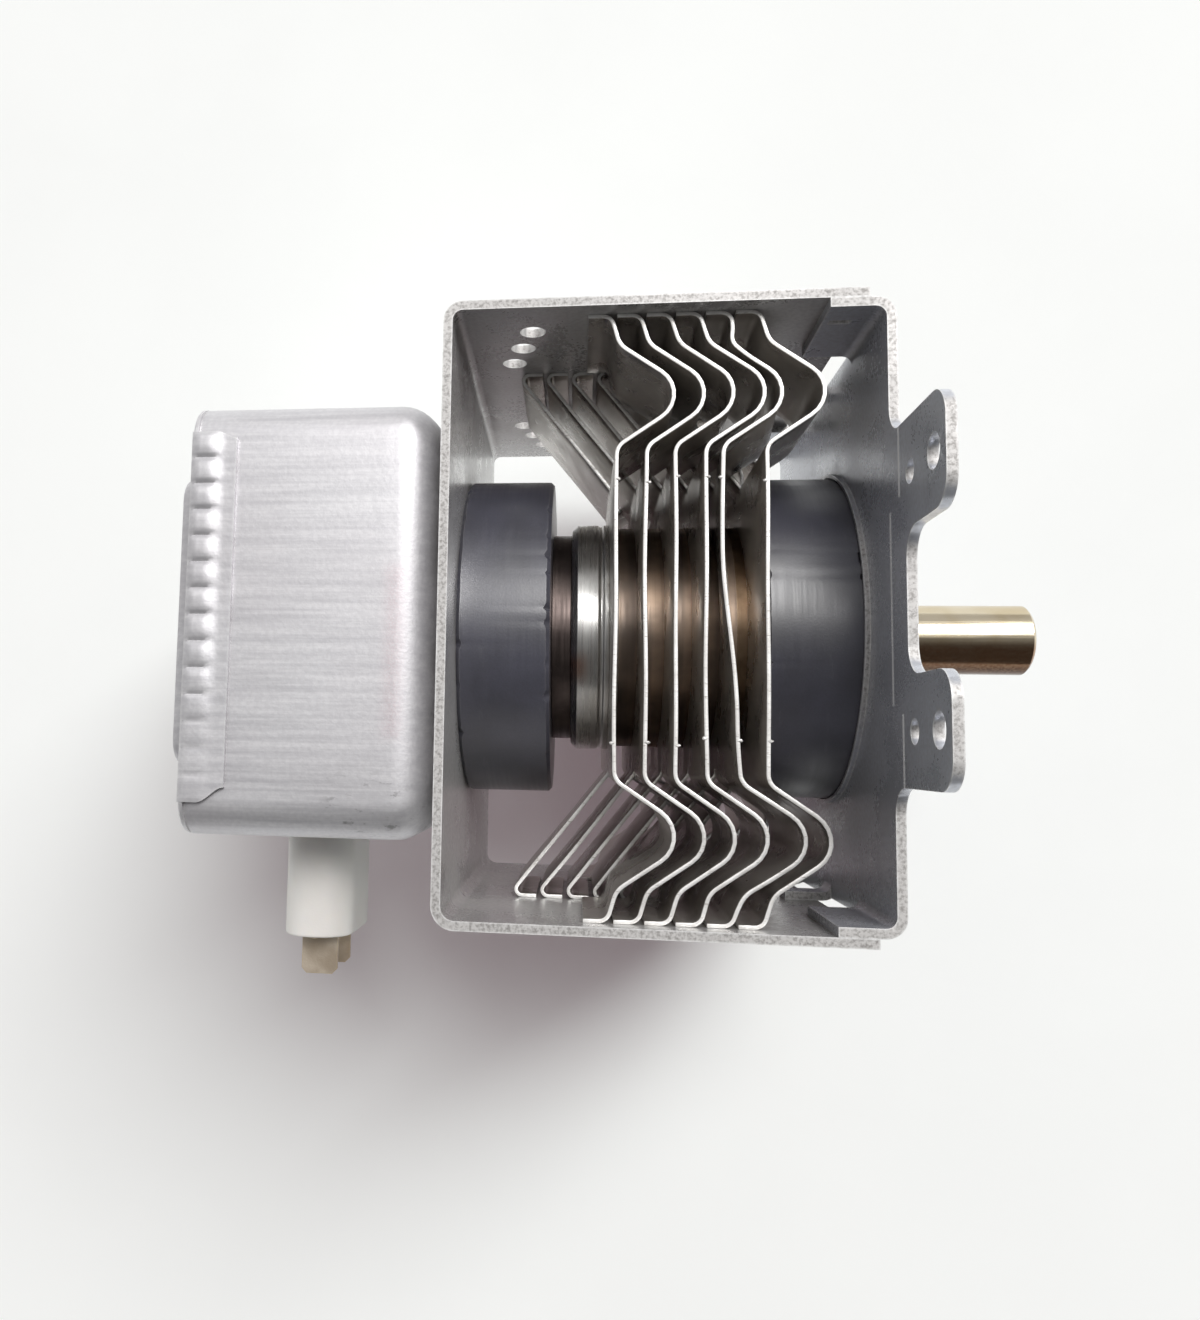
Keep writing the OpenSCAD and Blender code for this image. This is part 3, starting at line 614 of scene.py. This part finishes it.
def make_finishes():
    effects = {
        "wear_and_highlight": group_wear_and_edge_highlight(),
        "corner_shade": group_corner_shade(),
        "scratches": group_sheet_scratches(),
        "mottle": group_mottle(),
    }
    return {
        "zinc_steel": zinc_steel("zinc_steel", effects, rgb(206, 205, 205), rgb(224, 223, 222)),
        "plate_zinc": zinc_steel("plate_zinc", effects, rgb(200, 203, 212), rgb(216, 219, 228),
                                 with_line_highlights=True),
        "aluminised_sheet": aluminised_sheet(effects),
        "ferrite": ferrite(effects),
        "fin_aluminium": fin_aluminium(effects),
        "fin_cut_edge": fin_cut_edge(effects),
        "copper": turned_metal("copper", effects, rgb(150, 134, 122), rgb(200, 176, 156), (0.36, 0.50),
                               tint=rgb(124, 114, 108)),
        "tinted_steel": turned_metal("tinted_steel", effects, rgb(120, 98, 78), rgb(184, 160, 134),
                                     (0.30, 0.42), tint=rgb(92, 80, 70)),
        "iron": turned_metal("iron", effects, rgb(118, 116, 114), rgb(150, 148, 146), (0.34, 0.5)),
        "dark_steel": turned_metal("dark_steel", effects, rgb(82, 73, 71), rgb(118, 106, 102), (0.32, 0.46)),
        "bright_steel": turned_metal("bright_steel", effects, rgb(206, 204, 201), rgb(234, 233, 231),
                                     (0.24, 0.36), painted_reflection=rgb(196, 140, 112)),
        "tungsten": turned_metal("tungsten", effects, rgb(96, 94, 92), rgb(128, 126, 122), (0.4, 0.55)),
        "alumina": alumina(effects),
        "enamelled_wire": enamelled_wire(effects),
        "cream_plastic": cream_plastic(effects),
        "tinned_brass": tinned_brass(effects),
        "plated_cap": plated_cap(effects),
        "wire_mesh": wire_mesh(effects),
    }


# ---------------------------------------------------------------- CAD nodes: finish and softened edges

def slot_of_nodes():
    return {part["node"]: part["material_slot"] for part in frame["record"]["subparts"]}


SMOOTH_DEG = 34.0
WELD_M = 2e-6
EDGE_SEGMENTS = 2
EDGE_TURN_DEG = 32.0


def group_smooth_shade():
    """Modifier group: smooth faces, sharp only across edges that turn more than the angle."""
    tree = bpy.data.node_groups.new("smooth_shade", "GeometryNodeTree")
    tree.interface.new_socket("Mesh", in_out="INPUT", socket_type="NodeSocketGeometry")
    limit = tree.interface.new_socket("Angle", in_out="INPUT", socket_type=FLOAT)
    limit.default_value = math.radians(SMOOTH_DEG)
    tree.interface.new_socket("Mesh", in_out="OUTPUT", socket_type="NodeSocketGeometry")
    ins, outs = add(tree, "NodeGroupInput", (-600, 0)), add(tree, "NodeGroupOutput", (200, 0))
    turn = add(tree, "GeometryNodeInputMeshEdgeAngle", (-600, -200))
    sharp = add(tree, "ShaderNodeMath", (-350, -150), operation="GREATER_THAN")
    normals = add(tree, "GeometryNodeSetMeshNormal", (-100, 0), mode="SHARPNESS")
    normals.inputs["Remove Custom"].default_value = True
    normals.inputs["Face Sharpness"].default_value = False
    join(tree, turn.outputs["Unsigned Angle"], sharp.inputs[0])
    join(tree, ins.outputs["Angle"], sharp.inputs[1])
    join(tree, ins.outputs["Mesh"], normals.inputs["Mesh"])
    join(tree, sharp.outputs[0], normals.inputs["Edge Sharpness"])
    join(tree, normals.outputs["Mesh"], outs.inputs["Mesh"])
    return tree


def soften(piece, width, smooth):
    """A welded, slightly rounded skin over the CAD solid; flat faces stay flat."""
    weld = piece.modifiers.new("weld", "WELD")
    weld.merge_threshold = WELD_M
    if width:
        bevel = piece.modifiers.new("soft_edges", "BEVEL")
        bevel.width = width
        bevel.segments = EDGE_SEGMENTS
        bevel.limit_method = "ANGLE"
        bevel.angle_limit = math.radians(EDGE_TURN_DEG)
        bevel.use_clamp_overlap = True
    piece.modifiers.new("smooth_shade", "NODES").node_group = smooth
    flat = piece.modifiers.new("flat_faces", "WEIGHTED_NORMAL")
    flat.keep_sharp = True


# Rounding of the solids' outer edges; the others stay as they are.
EDGE_MM = {
    "mounting_plate": 0.22,
    "capacitor_body": 0.5,
    "antenna_cap": 0.25,
    "supply_terminal_front": 0.12,
    "supply_terminal_back": 0.12,
    "cathode_side_cup": 0.12,
    "cup_spacer": 0.2,
    "antenna_side_cup": 0.12,
    "antenna_ceramic": 0.2,
}

# Finishes that differ from the one the node's slot gives.
NODE_FINISH = {"antenna_side_cup": "tinted_steel", "mounting_plate": "plate_zinc"}


def dress_nodes(finishes, smooth):
    slots = slot_of_nodes()
    for name, piece in nodes.items():
        piece.data.materials.clear()
        piece.data.materials.append(finishes[NODE_FINISH.get(name, slots[name])])
        soften(piece, EDGE_MM.get(name, 0.0) * MM, smooth)


# ---------------------------------------------------------------- made pieces

def new_piece(name, work, materials, replaced=()):
    """Turns a bmesh into an object that rides on the part."""
    mesh = bpy.data.meshes.new(name)
    work.to_mesh(mesh)
    work.free()
    for material in materials:
        mesh.materials.append(material)
    piece = bpy.data.objects.new(name, mesh)
    bpy.context.scene.collection.objects.link(piece)
    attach(piece, BODY)
    if replaced:
        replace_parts(piece, *replaced)
    return piece


def arc_corner(a, b, c, radius, steps):
    """Points of the arc that rounds corner b between a and c."""
    u, w = (a - b).normalized(), (c - b).normalized()
    half = math.acos(max(-1.0, min(1.0, u.dot(w)))) / 2
    start, end = b + u * radius / math.tan(half), b + w * radius / math.tan(half)
    middle = b + (u + w).normalized() * radius / math.sin(half)
    s, e = start - middle, end - middle
    first = math.atan2(s.y, s.x)
    swing = (math.atan2(e.y, e.x) - first + 3 * math.pi) % (2 * math.pi) - math.pi
    turns = [first + swing * i / steps for i in range(steps + 1)]
    return [middle + radius * Vector((math.cos(t), math.sin(t))) for t in turns]


def rounded_path(corners, radii, steps, straight):
    """Open path with rounded corners, its straight runs cut into short steps."""
    corners = [Vector(c) for c in corners]
    bends = [[corners[0]]]
    for i in range(1, len(corners) - 1):
        bends.append(arc_corner(corners[i - 1], corners[i], corners[i + 1], radii[i], steps))
    bends.append([corners[-1]])
    path = list(bends[0])
    for bend in bends[1:]:
        run = bend[0] - path[-1]
        cuts = max(1, int(run.length / straight))
        path += [path[-1] + run * k / cuts for k in range(1, cuts)]
        path += bend
    return path


def smooth_step(low, high, value):
    t = max(0.0, min(1.0, (value - low) / (high - low)))
    return t * t * (3 - 2 * t)


# ---- cooling fins

FIN_FIRST, FIN_PITCH, FIN_T = -38.8, 4.3, 0.6
FIN_EDGE_Z, SLIT_Z = 35.3, 13.0
BORE_R = 19.6
PLATE_Y = 22.8
FOLD_Y, FOOT_Y, FOOT_L = 23.8, 44.3, 3.4
WING = [(0, 22.0), (0, 24.4), (11.5, 32.15), (0.4, 39.9), (-0.9, FOOT_Y), (-0.9 - FOOT_L, FOOT_Y)]
WING_BENDS = [0, 2.4, 4.2, 3.4, 1.7, 0]
SWEEP = [(0, 22.0), (0, FOLD_Y), (-16.2, FOOT_Y), (-11.8, FOOT_Y)]
SWEEP_BENDS = [0, 1.5, 1.0, 0]
FIN_BENT = 5
FIN_NUMBERS = range(1, 7)
COLLAR_H = 1.1
WEB_RING = 0.45
SHEARED_R, SHEARED_DEG = 0.09, 50.0
# The sheet stands true at the tube and at the yoke's walls, and waves in between.
TUBE_FADE, WALL_FADE = (20.5, 30.0), (37.0, 43.5)
BEND_FRONT, BEND_LOW, BEND_HIGH = (10.0, 34.0), (-32.0, -16.0), (-17.0, 9.0)
BEND_OUT, BEND_BACK = 0.9, 1.9


def fin_wave(index, y, z):
    """How far the thin sheet stands off its plane: handling waves, and one fin knocked sideways."""
    phase = 1.7 * index
    away = smooth_step(*TUBE_FADE, math.hypot(y, z))
    wall = 1.0 - smooth_step(*WALL_FADE, abs(y))
    wave = 0.07 * math.sin(0.21 * y + phase) + 0.06 * math.sin(0.13 * y - 0.11 * z + 2.3 * phase)
    if index == FIN_BENT and z > 0:
        front = smooth_step(*BEND_FRONT, z)
        out = BEND_OUT * (1.0 - smooth_step(*BEND_LOW, y))
        wave += front * (out - BEND_BACK * smooth_step(*BEND_HIGH, y))
    return wave * away * wall


def fin_columns(z0, z1, count):
    """Even steps from one edge to the other."""
    return [z0 + (z1 - z0) * i / count for i in range(count + 1)]


def make_fin(index, finishes, smooth):
    """One pressed fin: flat web with a collar round the tube, winged ends and swept tongues."""
    x0 = FIN_FIRST + FIN_PITCH * (index - 1)
    work = bmesh.new()
    wing_z = fin_columns(SLIT_Z, FIN_EDGE_Z, 9)
    back_z = [-z for z in reversed(wing_z)]
    middle_z = fin_columns(-SLIT_Z + 1, SLIT_Z - 1, 8)
    across = back_z + middle_z + wing_z
    up = fin_columns(-PLATE_Y, PLATE_Y, 30)[1:-1]

    def place(x, y, z):
        return Vector((x0 + x + fin_wave(index, y, z), y, z)) * MM

    rim = [(PLATE_Y, z) for z in across] + [(y, FIN_EDGE_Z) for y in reversed(up)]
    rim += [(-PLATE_Y, z) for z in reversed(across)] + [(y, -FIN_EDGE_Z) for y in up]
    outer = {}
    rings = [[], [], [], []]
    for y, z in rim:
        turn = math.atan2(y, z)
        by, bz = BORE_R * math.sin(turn), BORE_R * math.cos(turn)
        vertex = work.verts.new(place(0, y, z))
        outer[(round(y, 3), round(z, 3))] = vertex
        rings[0].append(vertex)
        rings[1].append(work.verts.new(place(0, by + (y - by) * WEB_RING, bz + (z - bz) * WEB_RING)))
        rings[2].append(work.verts.new(Vector((x0, by, bz)) * MM))
        rings[3].append(work.verts.new(Vector((x0 + COLLAR_H, by, bz)) * MM))
    count = len(rim)
    for inner, ring in zip(rings[1:], rings[:-1]):
        for i in range(count):
            j = (i + 1) % count
            work.faces.new((ring[i], ring[j], inner[j], inner[i]))
    wing = [q for q in rounded_path(WING, WING_BENDS, 7, 0.9) if q.y > PLATE_Y + 0.1]
    sweep = [q for q in rounded_path(SWEEP, SWEEP_BENDS, 6, 1.2) if q.y > PLATE_Y + 0.1]
    for side in (1, -1):
        for path, columns in ((wing, wing_z), (wing, back_z), (sweep, middle_z)):
            last = [outer[(round(side * PLATE_Y, 3), round(z, 3))] for z in columns]
            for q in path:
                row = [work.verts.new(place(q.x, side * q.y, z)) for z in columns]
                for i in range(len(columns) - 1):
                    quad = (last[i], last[i + 1], row[i + 1], row[i])
                    work.faces.new(quad if side > 0 else quad[::-1])
                last = row
    bmesh.ops.recalc_face_normals(work, faces=work.faces)
    piece = new_piece("made_fin_%d" % index, work, [finishes["fin_aluminium"], finishes["fin_cut_edge"]],
                      ["cooling_fin_%d" % index])
    thick = piece.modifiers.new("sheet", "SOLIDIFY")
    thick.thickness = FIN_T * MM
    thick.offset = 0.0
    thick.use_even_offset = True
    thick.material_offset_rim = 1
    round_off = piece.modifiers.new("sheared_edge", "BEVEL")
    round_off.width = SHEARED_R * MM
    round_off.segments = 2
    round_off.limit_method = "ANGLE"
    round_off.angle_limit = math.radians(SHEARED_DEG)
    piece.modifiers.new("smooth_shade", "NODES").node_group = smooth
    return piece


# ---- ring magnets

MAGNET_R, MAGNET_BORE = 27.5, 10.5
MAGNET_ENDS = {"cathode_side_magnet": (-63.1, -48.5), "antenna_side_magnet": (-16.0, -1.4)}
MAGNET_STEPS = 360
RIM_CHIPS, RIM_SOFT, RIM_BAND = 22, 0.55, 2.2
FACE_RING = MAGNET_BORE + 6
MAGNET_SEED = 11


def make_magnet(node, seed, finishes, smooth):
    """Fired ring with a broken rim: chips are taken out of both outer edges."""
    draw = random.Random(seed)
    x0, x1 = MAGNET_ENDS[node]
    steps = MAGNET_STEPS
    chips = {end: [(draw.uniform(0, 2 * math.pi), draw.uniform(0.010, 0.034), draw.uniform(0.12, 0.55))
                   for _ in range(RIM_CHIPS)] for end in (0, 1)}

    def bite(end, turn):
        deep = 0.03 * (1 + math.sin(23 * turn + end))
        for middle, wide, depth in chips[end]:
            off = (turn - middle + math.pi) % (2 * math.pi) - math.pi
            deep = max(deep, depth * max(0.0, 1 - (off / wide) ** 2))
        return deep

    work = bmesh.new()
    rings = []
    # Along the ring, its radius there, and the end whose chips bite into it.
    profile = [
        (x0, MAGNET_BORE, None), (x0, FACE_RING, None),
        (x0, MAGNET_R - RIM_SOFT, 0), (x0 + RIM_SOFT, MAGNET_R, 0),
        (x0 + RIM_BAND, MAGNET_R, None), (x1 - RIM_BAND, MAGNET_R, None),
        (x1 - RIM_SOFT, MAGNET_R, 1), (x1, MAGNET_R - RIM_SOFT, 1),
        (x1, FACE_RING, None), (x1, MAGNET_BORE, None),
    ]
    for x, r, end in profile:
        ring = []
        for i in range(steps):
            turn = 2 * math.pi * i / steps
            px, pr = x, r
            if end is not None:
                deep = bite(end, turn)
                face = x in (x0, x1)
                pr -= deep if face else 0.25 * deep
                px += 0.0 if face else (deep if end == 0 else -deep)
            ring.append(work.verts.new(Vector((px, pr * math.cos(turn), pr * math.sin(turn))) * MM))
        rings.append(ring)
    rings.append(rings[0])
    for a, b in zip(rings[:-1], rings[1:]):
        for i in range(steps):
            j = (i + 1) % steps
            work.faces.new((a[i], a[j], b[j], b[i]))
    bmesh.ops.recalc_face_normals(work, faces=work.faces)
    piece = new_piece("fired_" + node, work, [finishes["ferrite"]], [node])
    piece.modifiers.new("smooth_shade", "NODES").node_group = smooth
    return piece


# ---- filter case

CASE_X0, CASE_X1 = -105.3, -64.5
CASE_HALF_Y, CASE_HALF_Z, CASE_R = 35.0, 29.0, 6.0
CASE_END = (8.0, 10.0, 7.5)
CASE_T = 0.8
CASE_BORE = 10.5
CASE_ROWS, CASE_ARC = 12, 8
CASE_SPREAD = 1.5


def round_outline(half_y, half_z, radius, steps, cuts=8):
    """Rounded rectangle in Y and Z, the same number of points whatever its size."""
    arcs = []
    for k, (sy, sz) in enumerate(((1, 1), (-1, 1), (-1, -1), (1, -1))):
        turns = [math.radians(90.0 * (k + i / steps)) for i in range(steps + 1)]
        y, z = sy * (half_y - radius), sz * (half_z - radius)
        arcs.append([(y + radius * math.cos(t), z + radius * math.sin(t)) for t in turns])
    points = []
    for arc, following in zip(arcs, arcs[1:] + arcs[:1]):
        (y0, z0), (y1, z1) = arc[-1], following[0]
        points += arc + [(y0 + (y1 - y0) * i / cuts, z0 + (z1 - z0) * i / cuts) for i in range(1, cuts)]
    return points


def make_case(finishes, smooth):
    """Deep-drawn can: straight sides that turn softly into the closed end, with the tube's hole in it."""
    work = bmesh.new()
    rows = []
    sides = [CASE_X0 + (CASE_X1 - CASE_END[0] - CASE_X0) * i / CASE_ROWS for i in range(CASE_ROWS + 1)]
    for x in sides:
        rows.append((x, CASE_HALF_Y, CASE_HALF_Z, CASE_R))
    for i in range(1, CASE_ROWS + 1):
        turn = math.radians(90.0 * i / CASE_ROWS)
        inset = 1 - math.cos(turn)
        rows.append((CASE_X1 - CASE_END[0] * (1 - math.sin(turn)), CASE_HALF_Y - CASE_END[1] * inset,
                     CASE_HALF_Z - CASE_END[2] * inset, CASE_R + CASE_SPREAD * inset))
    rings = []
    for x, half_y, half_z, radius in rows:
        outline = round_outline(half_y, half_z, radius, CASE_ARC)
        rings.append([work.verts.new(Vector((x, y, z)) * MM) for y, z in outline])
    flat = round_outline(CASE_HALF_Y - CASE_END[1], CASE_HALF_Z - CASE_END[2], CASE_R + CASE_SPREAD, CASE_ARC)
    for step in (0.35, 0.7, 1.0):
        ring = []
        for y, z in flat:
            turn = math.atan2(z, y)
            by, bz = CASE_BORE * math.cos(turn), CASE_BORE * math.sin(turn)
            ring.append(work.verts.new(Vector((CASE_X1, y + (by - y) * step, z + (bz - z) * step)) * MM))
        rings.append(ring)
    for a, b in zip(rings[:-1], rings[1:]):
        for i in range(len(a)):
            j = (i + 1) % len(a)
            work.faces.new((a[i], a[j], b[j], b[i]))
    bmesh.ops.recalc_face_normals(work, faces=work.faces)
    piece = new_piece("drawn_case", work, [finishes["aluminised_sheet"]], ["filter_case"])
    thick = piece.modifiers.new("sheet", "SOLIDIFY")
    thick.thickness = CASE_T * MM
    thick.offset = -1.0
    piece.modifiers.new("smooth_shade", "NODES").node_group = smooth
    return piece


# ---- filter lid

LID_X, LID_T = -106.1, 0.8
SKIRT_X1 = -98.7
SKIRT_Y = 29.6
SKIRT_Z = 29.8
CRIMPS = 14
PANEL_X = -109.5
PANEL_HALF = (24.0, 25.0)
CRIMP_H, CRIMP_FADE = 0.5, (-103.3, -100.4)
# Rings of the lid from its rim to the raised panel's middle: x, half width, half depth, corner.
LID_RINGS = [
    (-105.3, 34.8, SKIRT_Z, 6.0),
    (-105.7, 34.8, SKIRT_Z, 6.0),
    (-105.98, 34.6, SKIRT_Z - 0.2, 5.8),
    (LID_X, 34.2, SKIRT_Z - 0.6, 5.4),
] + [
    (x, PANEL_HALF[0] + grow, PANEL_HALF[1] + grow, corner) for x, grow, corner in (
        (LID_X, 1.4, 5.2),
        (LID_X - 0.25, 0.7, 4.8),
        (LID_X - 0.9, 0.25, 4.4),
        (PANEL_X + 0.9, 0.0, 4.2),
        (PANEL_X + 0.3, -0.3, 4.0),
        (PANEL_X, -1.0, 3.6),
        (PANEL_X, -8.0, 3.0),
        (PANEL_X + 0.12, -18.0, 2.0),
    )
]
LID_INSIDE = Vector((-100.0, 0.0, 0.0)) * MM


def crimp_height(x, y):
    """Soft pillow of each crimp, fading out towards the skirt's plain end."""
    along = (y + SKIRT_Y) / (2 * SKIRT_Y) * CRIMPS
    pillow = math.sqrt(max(0.0, 1.0 - (2 * (along % 1.0) - 1.0) ** 2))
    fade = 0.22 + 0.78 * smooth_step(1.5, 6.0, along)
    ends = smooth_step(LID_X, LID_X + 0.9, x) * (1.0 - smooth_step(*CRIMP_FADE, x))
    return CRIMP_H * pillow * fade * ends


def lid_skirt(work, side):
    """Crimped skirt on one open side, its lower corner turned up."""
    wide, tall = 14, CRIMPS * 10
    rows = []
    for j in range(tall + 1):
        row = []
        for i in range(wide + 1):
            x = LID_X + (SKIRT_X1 - LID_X) * i / wide
            low = -SKIRT_Y + 2.4 * smooth_step(-103.0, SKIRT_X1, x)
            high = SKIRT_Y - 1.0 * smooth_step(-102.0, SKIRT_X1, x)
            y = low + (high - low) * j / tall
            row.append(work.verts.new(Vector((x, y, side * (SKIRT_Z + crimp_height(x, y)))) * MM))
        rows.append(row)
    return [work.faces.new((a[i], a[i + 1], b[i + 1], b[i]))
            for a, b in zip(rows[:-1], rows[1:]) for i in range(wide)]


def make_lid(finishes, smooth):
    """Pressed lid with a raised panel and a crimped skirt on both open sides."""
    work = bmesh.new()
    for side in (1, -1):
        for face in lid_skirt(work, side):
            face.normal_update()
            if face.normal.z * side < 0:
                face.normal_flip()
    rings = [[work.verts.new(Vector((x, py, pz)) * MM) for py, pz in round_outline(hy, hz, r, 6, 10)]
             for x, hy, hz, r in LID_RINGS]
    made = []
    for a, b in zip(rings[:-1], rings[1:]):
        for i in range(len(a)):
            j = (i + 1) % len(a)
            made.append(work.faces.new((a[i], a[j], b[j], b[i])))
    made.append(work.faces.new(rings[-1]))
    for face in made:
        face.normal_update()
        if face.normal.dot(face.calc_center_median() - LID_INSIDE) < 0:
            face.normal_flip()
    piece = new_piece("crimped_lid", work, [finishes["aluminised_sheet"]], ["filter_lid"])
    thick = piece.modifiers.new("sheet", "SOLIDIFY")
    thick.thickness = LID_T * MM
    thick.offset = -1.0
    piece.modifiers.new("smooth_shade", "NODES").node_group = smooth
    return piece


# ---- burrs on the fins

BURR_Y = (19.4, -18.7)
BURR_R, BURR_SINK, BURR_SEED = 0.3, 0.05, 5
BURR_SHAPE = (1.3, 0.8, 0.7)


def make_burrs(finishes):
    """Small torn lumps where the shear stopped, on each fin's near edge."""
    draw = random.Random(BURR_SEED)
    work = bmesh.new()
    for index in FIN_NUMBERS:
        for y in BURR_Y:
            y += draw.uniform(-0.6, 0.6)
            x = FIN_FIRST + FIN_PITCH * (index - 1) + fin_wave(index, y, FIN_EDGE_Z)
            x += draw.choice((-BURR_R, BURR_R))
            place = Matrix.Translation(Vector((x, y, FIN_EDGE_Z - BURR_SINK)) * MM)
            lump = bmesh.ops.create_icosphere(work, subdivisions=2, radius=BURR_R * MM, matrix=place)
            for vertex in lump["verts"]:
                off = vertex.co - place.translation
                off = Vector([a * b for a, b in zip(off, BURR_SHAPE)]) * draw.uniform(0.75, 1.2)
                vertex.co = place.translation + off
    return new_piece("fin_burrs", work, [finishes["fin_cut_edge"]])


# ---- knitted gasket

GASKET_R, GASKET_HALF, GASKET_X = 10.85, 2.05, 1.3
WIRE_R = 0.17
LOOPS, LOOP_POINTS = 46, 14


def make_gasket(finishes):
    """Knitted wire ring: two families of wire loops wound opposite ways round the ring's section."""
    curve = bpy.data.curves.new("knitted_gasket", "CURVE")
    curve.dimensions = "3D"
    curve.bevel_depth = WIRE_R * MM
    curve.bevel_resolution = 2
    points = LOOPS * LOOP_POINTS
    for hand in (1, -1):
        for start in (0.0, 0.5):
            spline = curve.splines.new("POLY")
            spline.points.add(points - 1)
            spline.use_cyclic_u = True
            for i in range(points):
                round_ring = 2 * math.pi * i / points
                wind = hand * LOOPS * round_ring + 2 * math.pi * start
                r = GASKET_R + (GASKET_HALF - 0.2) * math.cos(wind)
                x = GASKET_X + (GASKET_X - 0.25) * math.sin(wind)
                y, z = r * math.cos(round_ring), r * math.sin(round_ring)
                spline.points[i].co = (x * MM, y * MM, z * MM, 1)
    curve.materials.append(finishes["wire_mesh"])
    piece = bpy.data.objects.new("knitted_gasket", curve)
    bpy.context.scene.collection.objects.link(piece)
    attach(piece, BODY)
    return piece


# ---------------------------------------------------------------- studio

FLOOR_Z = -60.3 * MM
FLOOR_HALF, FLOOR_CUTS = 2.5, 6
FLOOR_WHITES = ((238, 245, 243), (240, 247, 245))
# Faint warm glow, so that the sheet reads as white paper in the shade.
FLOOR_GLOW = (0.078, 0.034, 0.046)


def make_floor():
    """White sheet that the part lies on."""
    mesh = bpy.data.meshes.new("bench_sheet")
    work = bmesh.new()
    corners = [(-1, -1), (1, -1), (1, 1), (-1, 1)]
    work.faces.new([work.verts.new((x * FLOOR_HALF, y * FLOOR_HALF, FLOOR_Z)) for x, y in corners])
    bmesh.ops.subdivide_edges(work, edges=work.edges[:], cuts=FLOOR_CUTS, use_grid_fill=True)
    work.to_mesh(mesh)
    work.free()
    floor = bpy.data.objects.new("bench_sheet", mesh)
    bpy.context.scene.collection.objects.link(floor)
    material = bpy.data.materials.new("bench_white")
    material.use_nodes = True
    tree = material.node_tree
    shader = tree.nodes["Principled BSDF"]
    cloud = noise_of(tree, coords(tree), 14.0, 4.0)
    dull, bright = [rgb(*white) for white in FLOOR_WHITES]
    join(tree, mix_of(tree, ramp_of(tree, cloud, 0.35, 0.65), dull, bright), shader.inputs["Base Color"])
    shader.inputs["Roughness"].default_value = 0.9
    shader.inputs["Specular IOR Level"].default_value = 0.1
    path = add(tree, "ShaderNodeLightPath", (-700, -400))
    camera_ray, glossy_ray = path.outputs["Is Camera Ray"], path.outputs["Is Glossy Ray"]
    seen = math_of(tree, "ADD", camera_ray, glossy_ray, at=(-500, -400))
    seen = math_of(tree, "ADD", seen, path.outputs["Is Transmission Ray"], True, at=(-300, -400))
    shader.inputs["Emission Color"].default_value = FLOOR_GLOW + (1.0,)
    join(tree, seen, shader.inputs["Emission Strength"])
    mesh.materials.append(material)


LAMP_TOWARDS = Vector((0.35, 0.50, 0.79)).normalized()
LAMP_LONG = Vector((0.71, 0.43, -0.45))
LAMP_WATTS, LAMP_AWAY = 372.0, 6.0
LAMP_SIZE = (5.4, 2.2)
LAMP_COLOUR = (1.0, 0.99, 0.975)


def make_lamp():
    """Large window far off: long side from overhead down to the upper right."""
    data = bpy.data.lights.new("window_light", "AREA")
    data.shape = "RECTANGLE"
    data.size, data.size_y = LAMP_SIZE
    data.energy = LAMP_WATTS
    data.color = LAMP_COLOUR
    lamp = bpy.data.objects.new("window_light", data)
    across = LAMP_TOWARDS.cross(LAMP_LONG).normalized()
    along = across.cross(LAMP_TOWARDS)
    lamp.location = LAMP_TOWARDS * LAMP_AWAY
    lamp.rotation_mode = "QUATERNION"
    lamp.rotation_quaternion = Matrix((along, across, LAMP_TOWARDS)).transposed().to_quaternion()
    lamp.visible_camera = False
    bpy.context.scene.collection.objects.link(lamp)


# Room light: from, to, level there, along the named axis.
ROOM_UP = (-0.5, 1.0, 0.08, 0.52)
ROOM_SIDE = (-1.0, 0.0, 0.22, 0.0)
ROOM_COLOUR = (1.0, 0.995, 0.985, 1.0)


def make_world():
    """Soft room: a little brighter towards +Y and on the -X side."""
    world = bpy.data.worlds.new("soft_room")
    bpy.context.scene.world = world
    world.use_nodes = True
    tree = world.node_tree
    back = tree.nodes["Background"]
    where = add(tree, "ShaderNodeTexCoord", (-1100, 0))
    split = add(tree, "ShaderNodeSeparateXYZ", (-900, 0))
    join(tree, where.outputs["Generated"], split.inputs[0])
    window = ramp_of(tree, split.outputs["Y"], *ROOM_UP, at=(-700, 100))
    side = ramp_of(tree, split.outputs["X"], *ROOM_SIDE, at=(-700, -150))
    level = math_of(tree, "ADD", window, side, at=(-500, 0))
    join(tree, level, back.inputs["Strength"])
    back.inputs["Color"].default_value = ROOM_COLOUR


def make_studio():
    make_floor()
    make_world()
    make_lamp()


# ---------------------------------------------------------------- build

make_camera()
finishes = make_finishes()
smooth = group_smooth_shade()
dress_nodes(finishes, smooth)
for fin_number in FIN_NUMBERS:
    make_fin(fin_number, finishes, smooth)
for seed, magnet_name in enumerate(sorted(MAGNET_ENDS)):
    make_magnet(magnet_name, MAGNET_SEED + seed, finishes, smooth)
make_case(finishes, smooth)
make_lid(finishes, smooth)
make_burrs(finishes)
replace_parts(make_gasket(finishes), "rf_gasket")
make_studio()

bpy.context.scene.view_settings.view_transform = "Standard"

bpy.context.view_layer.update()
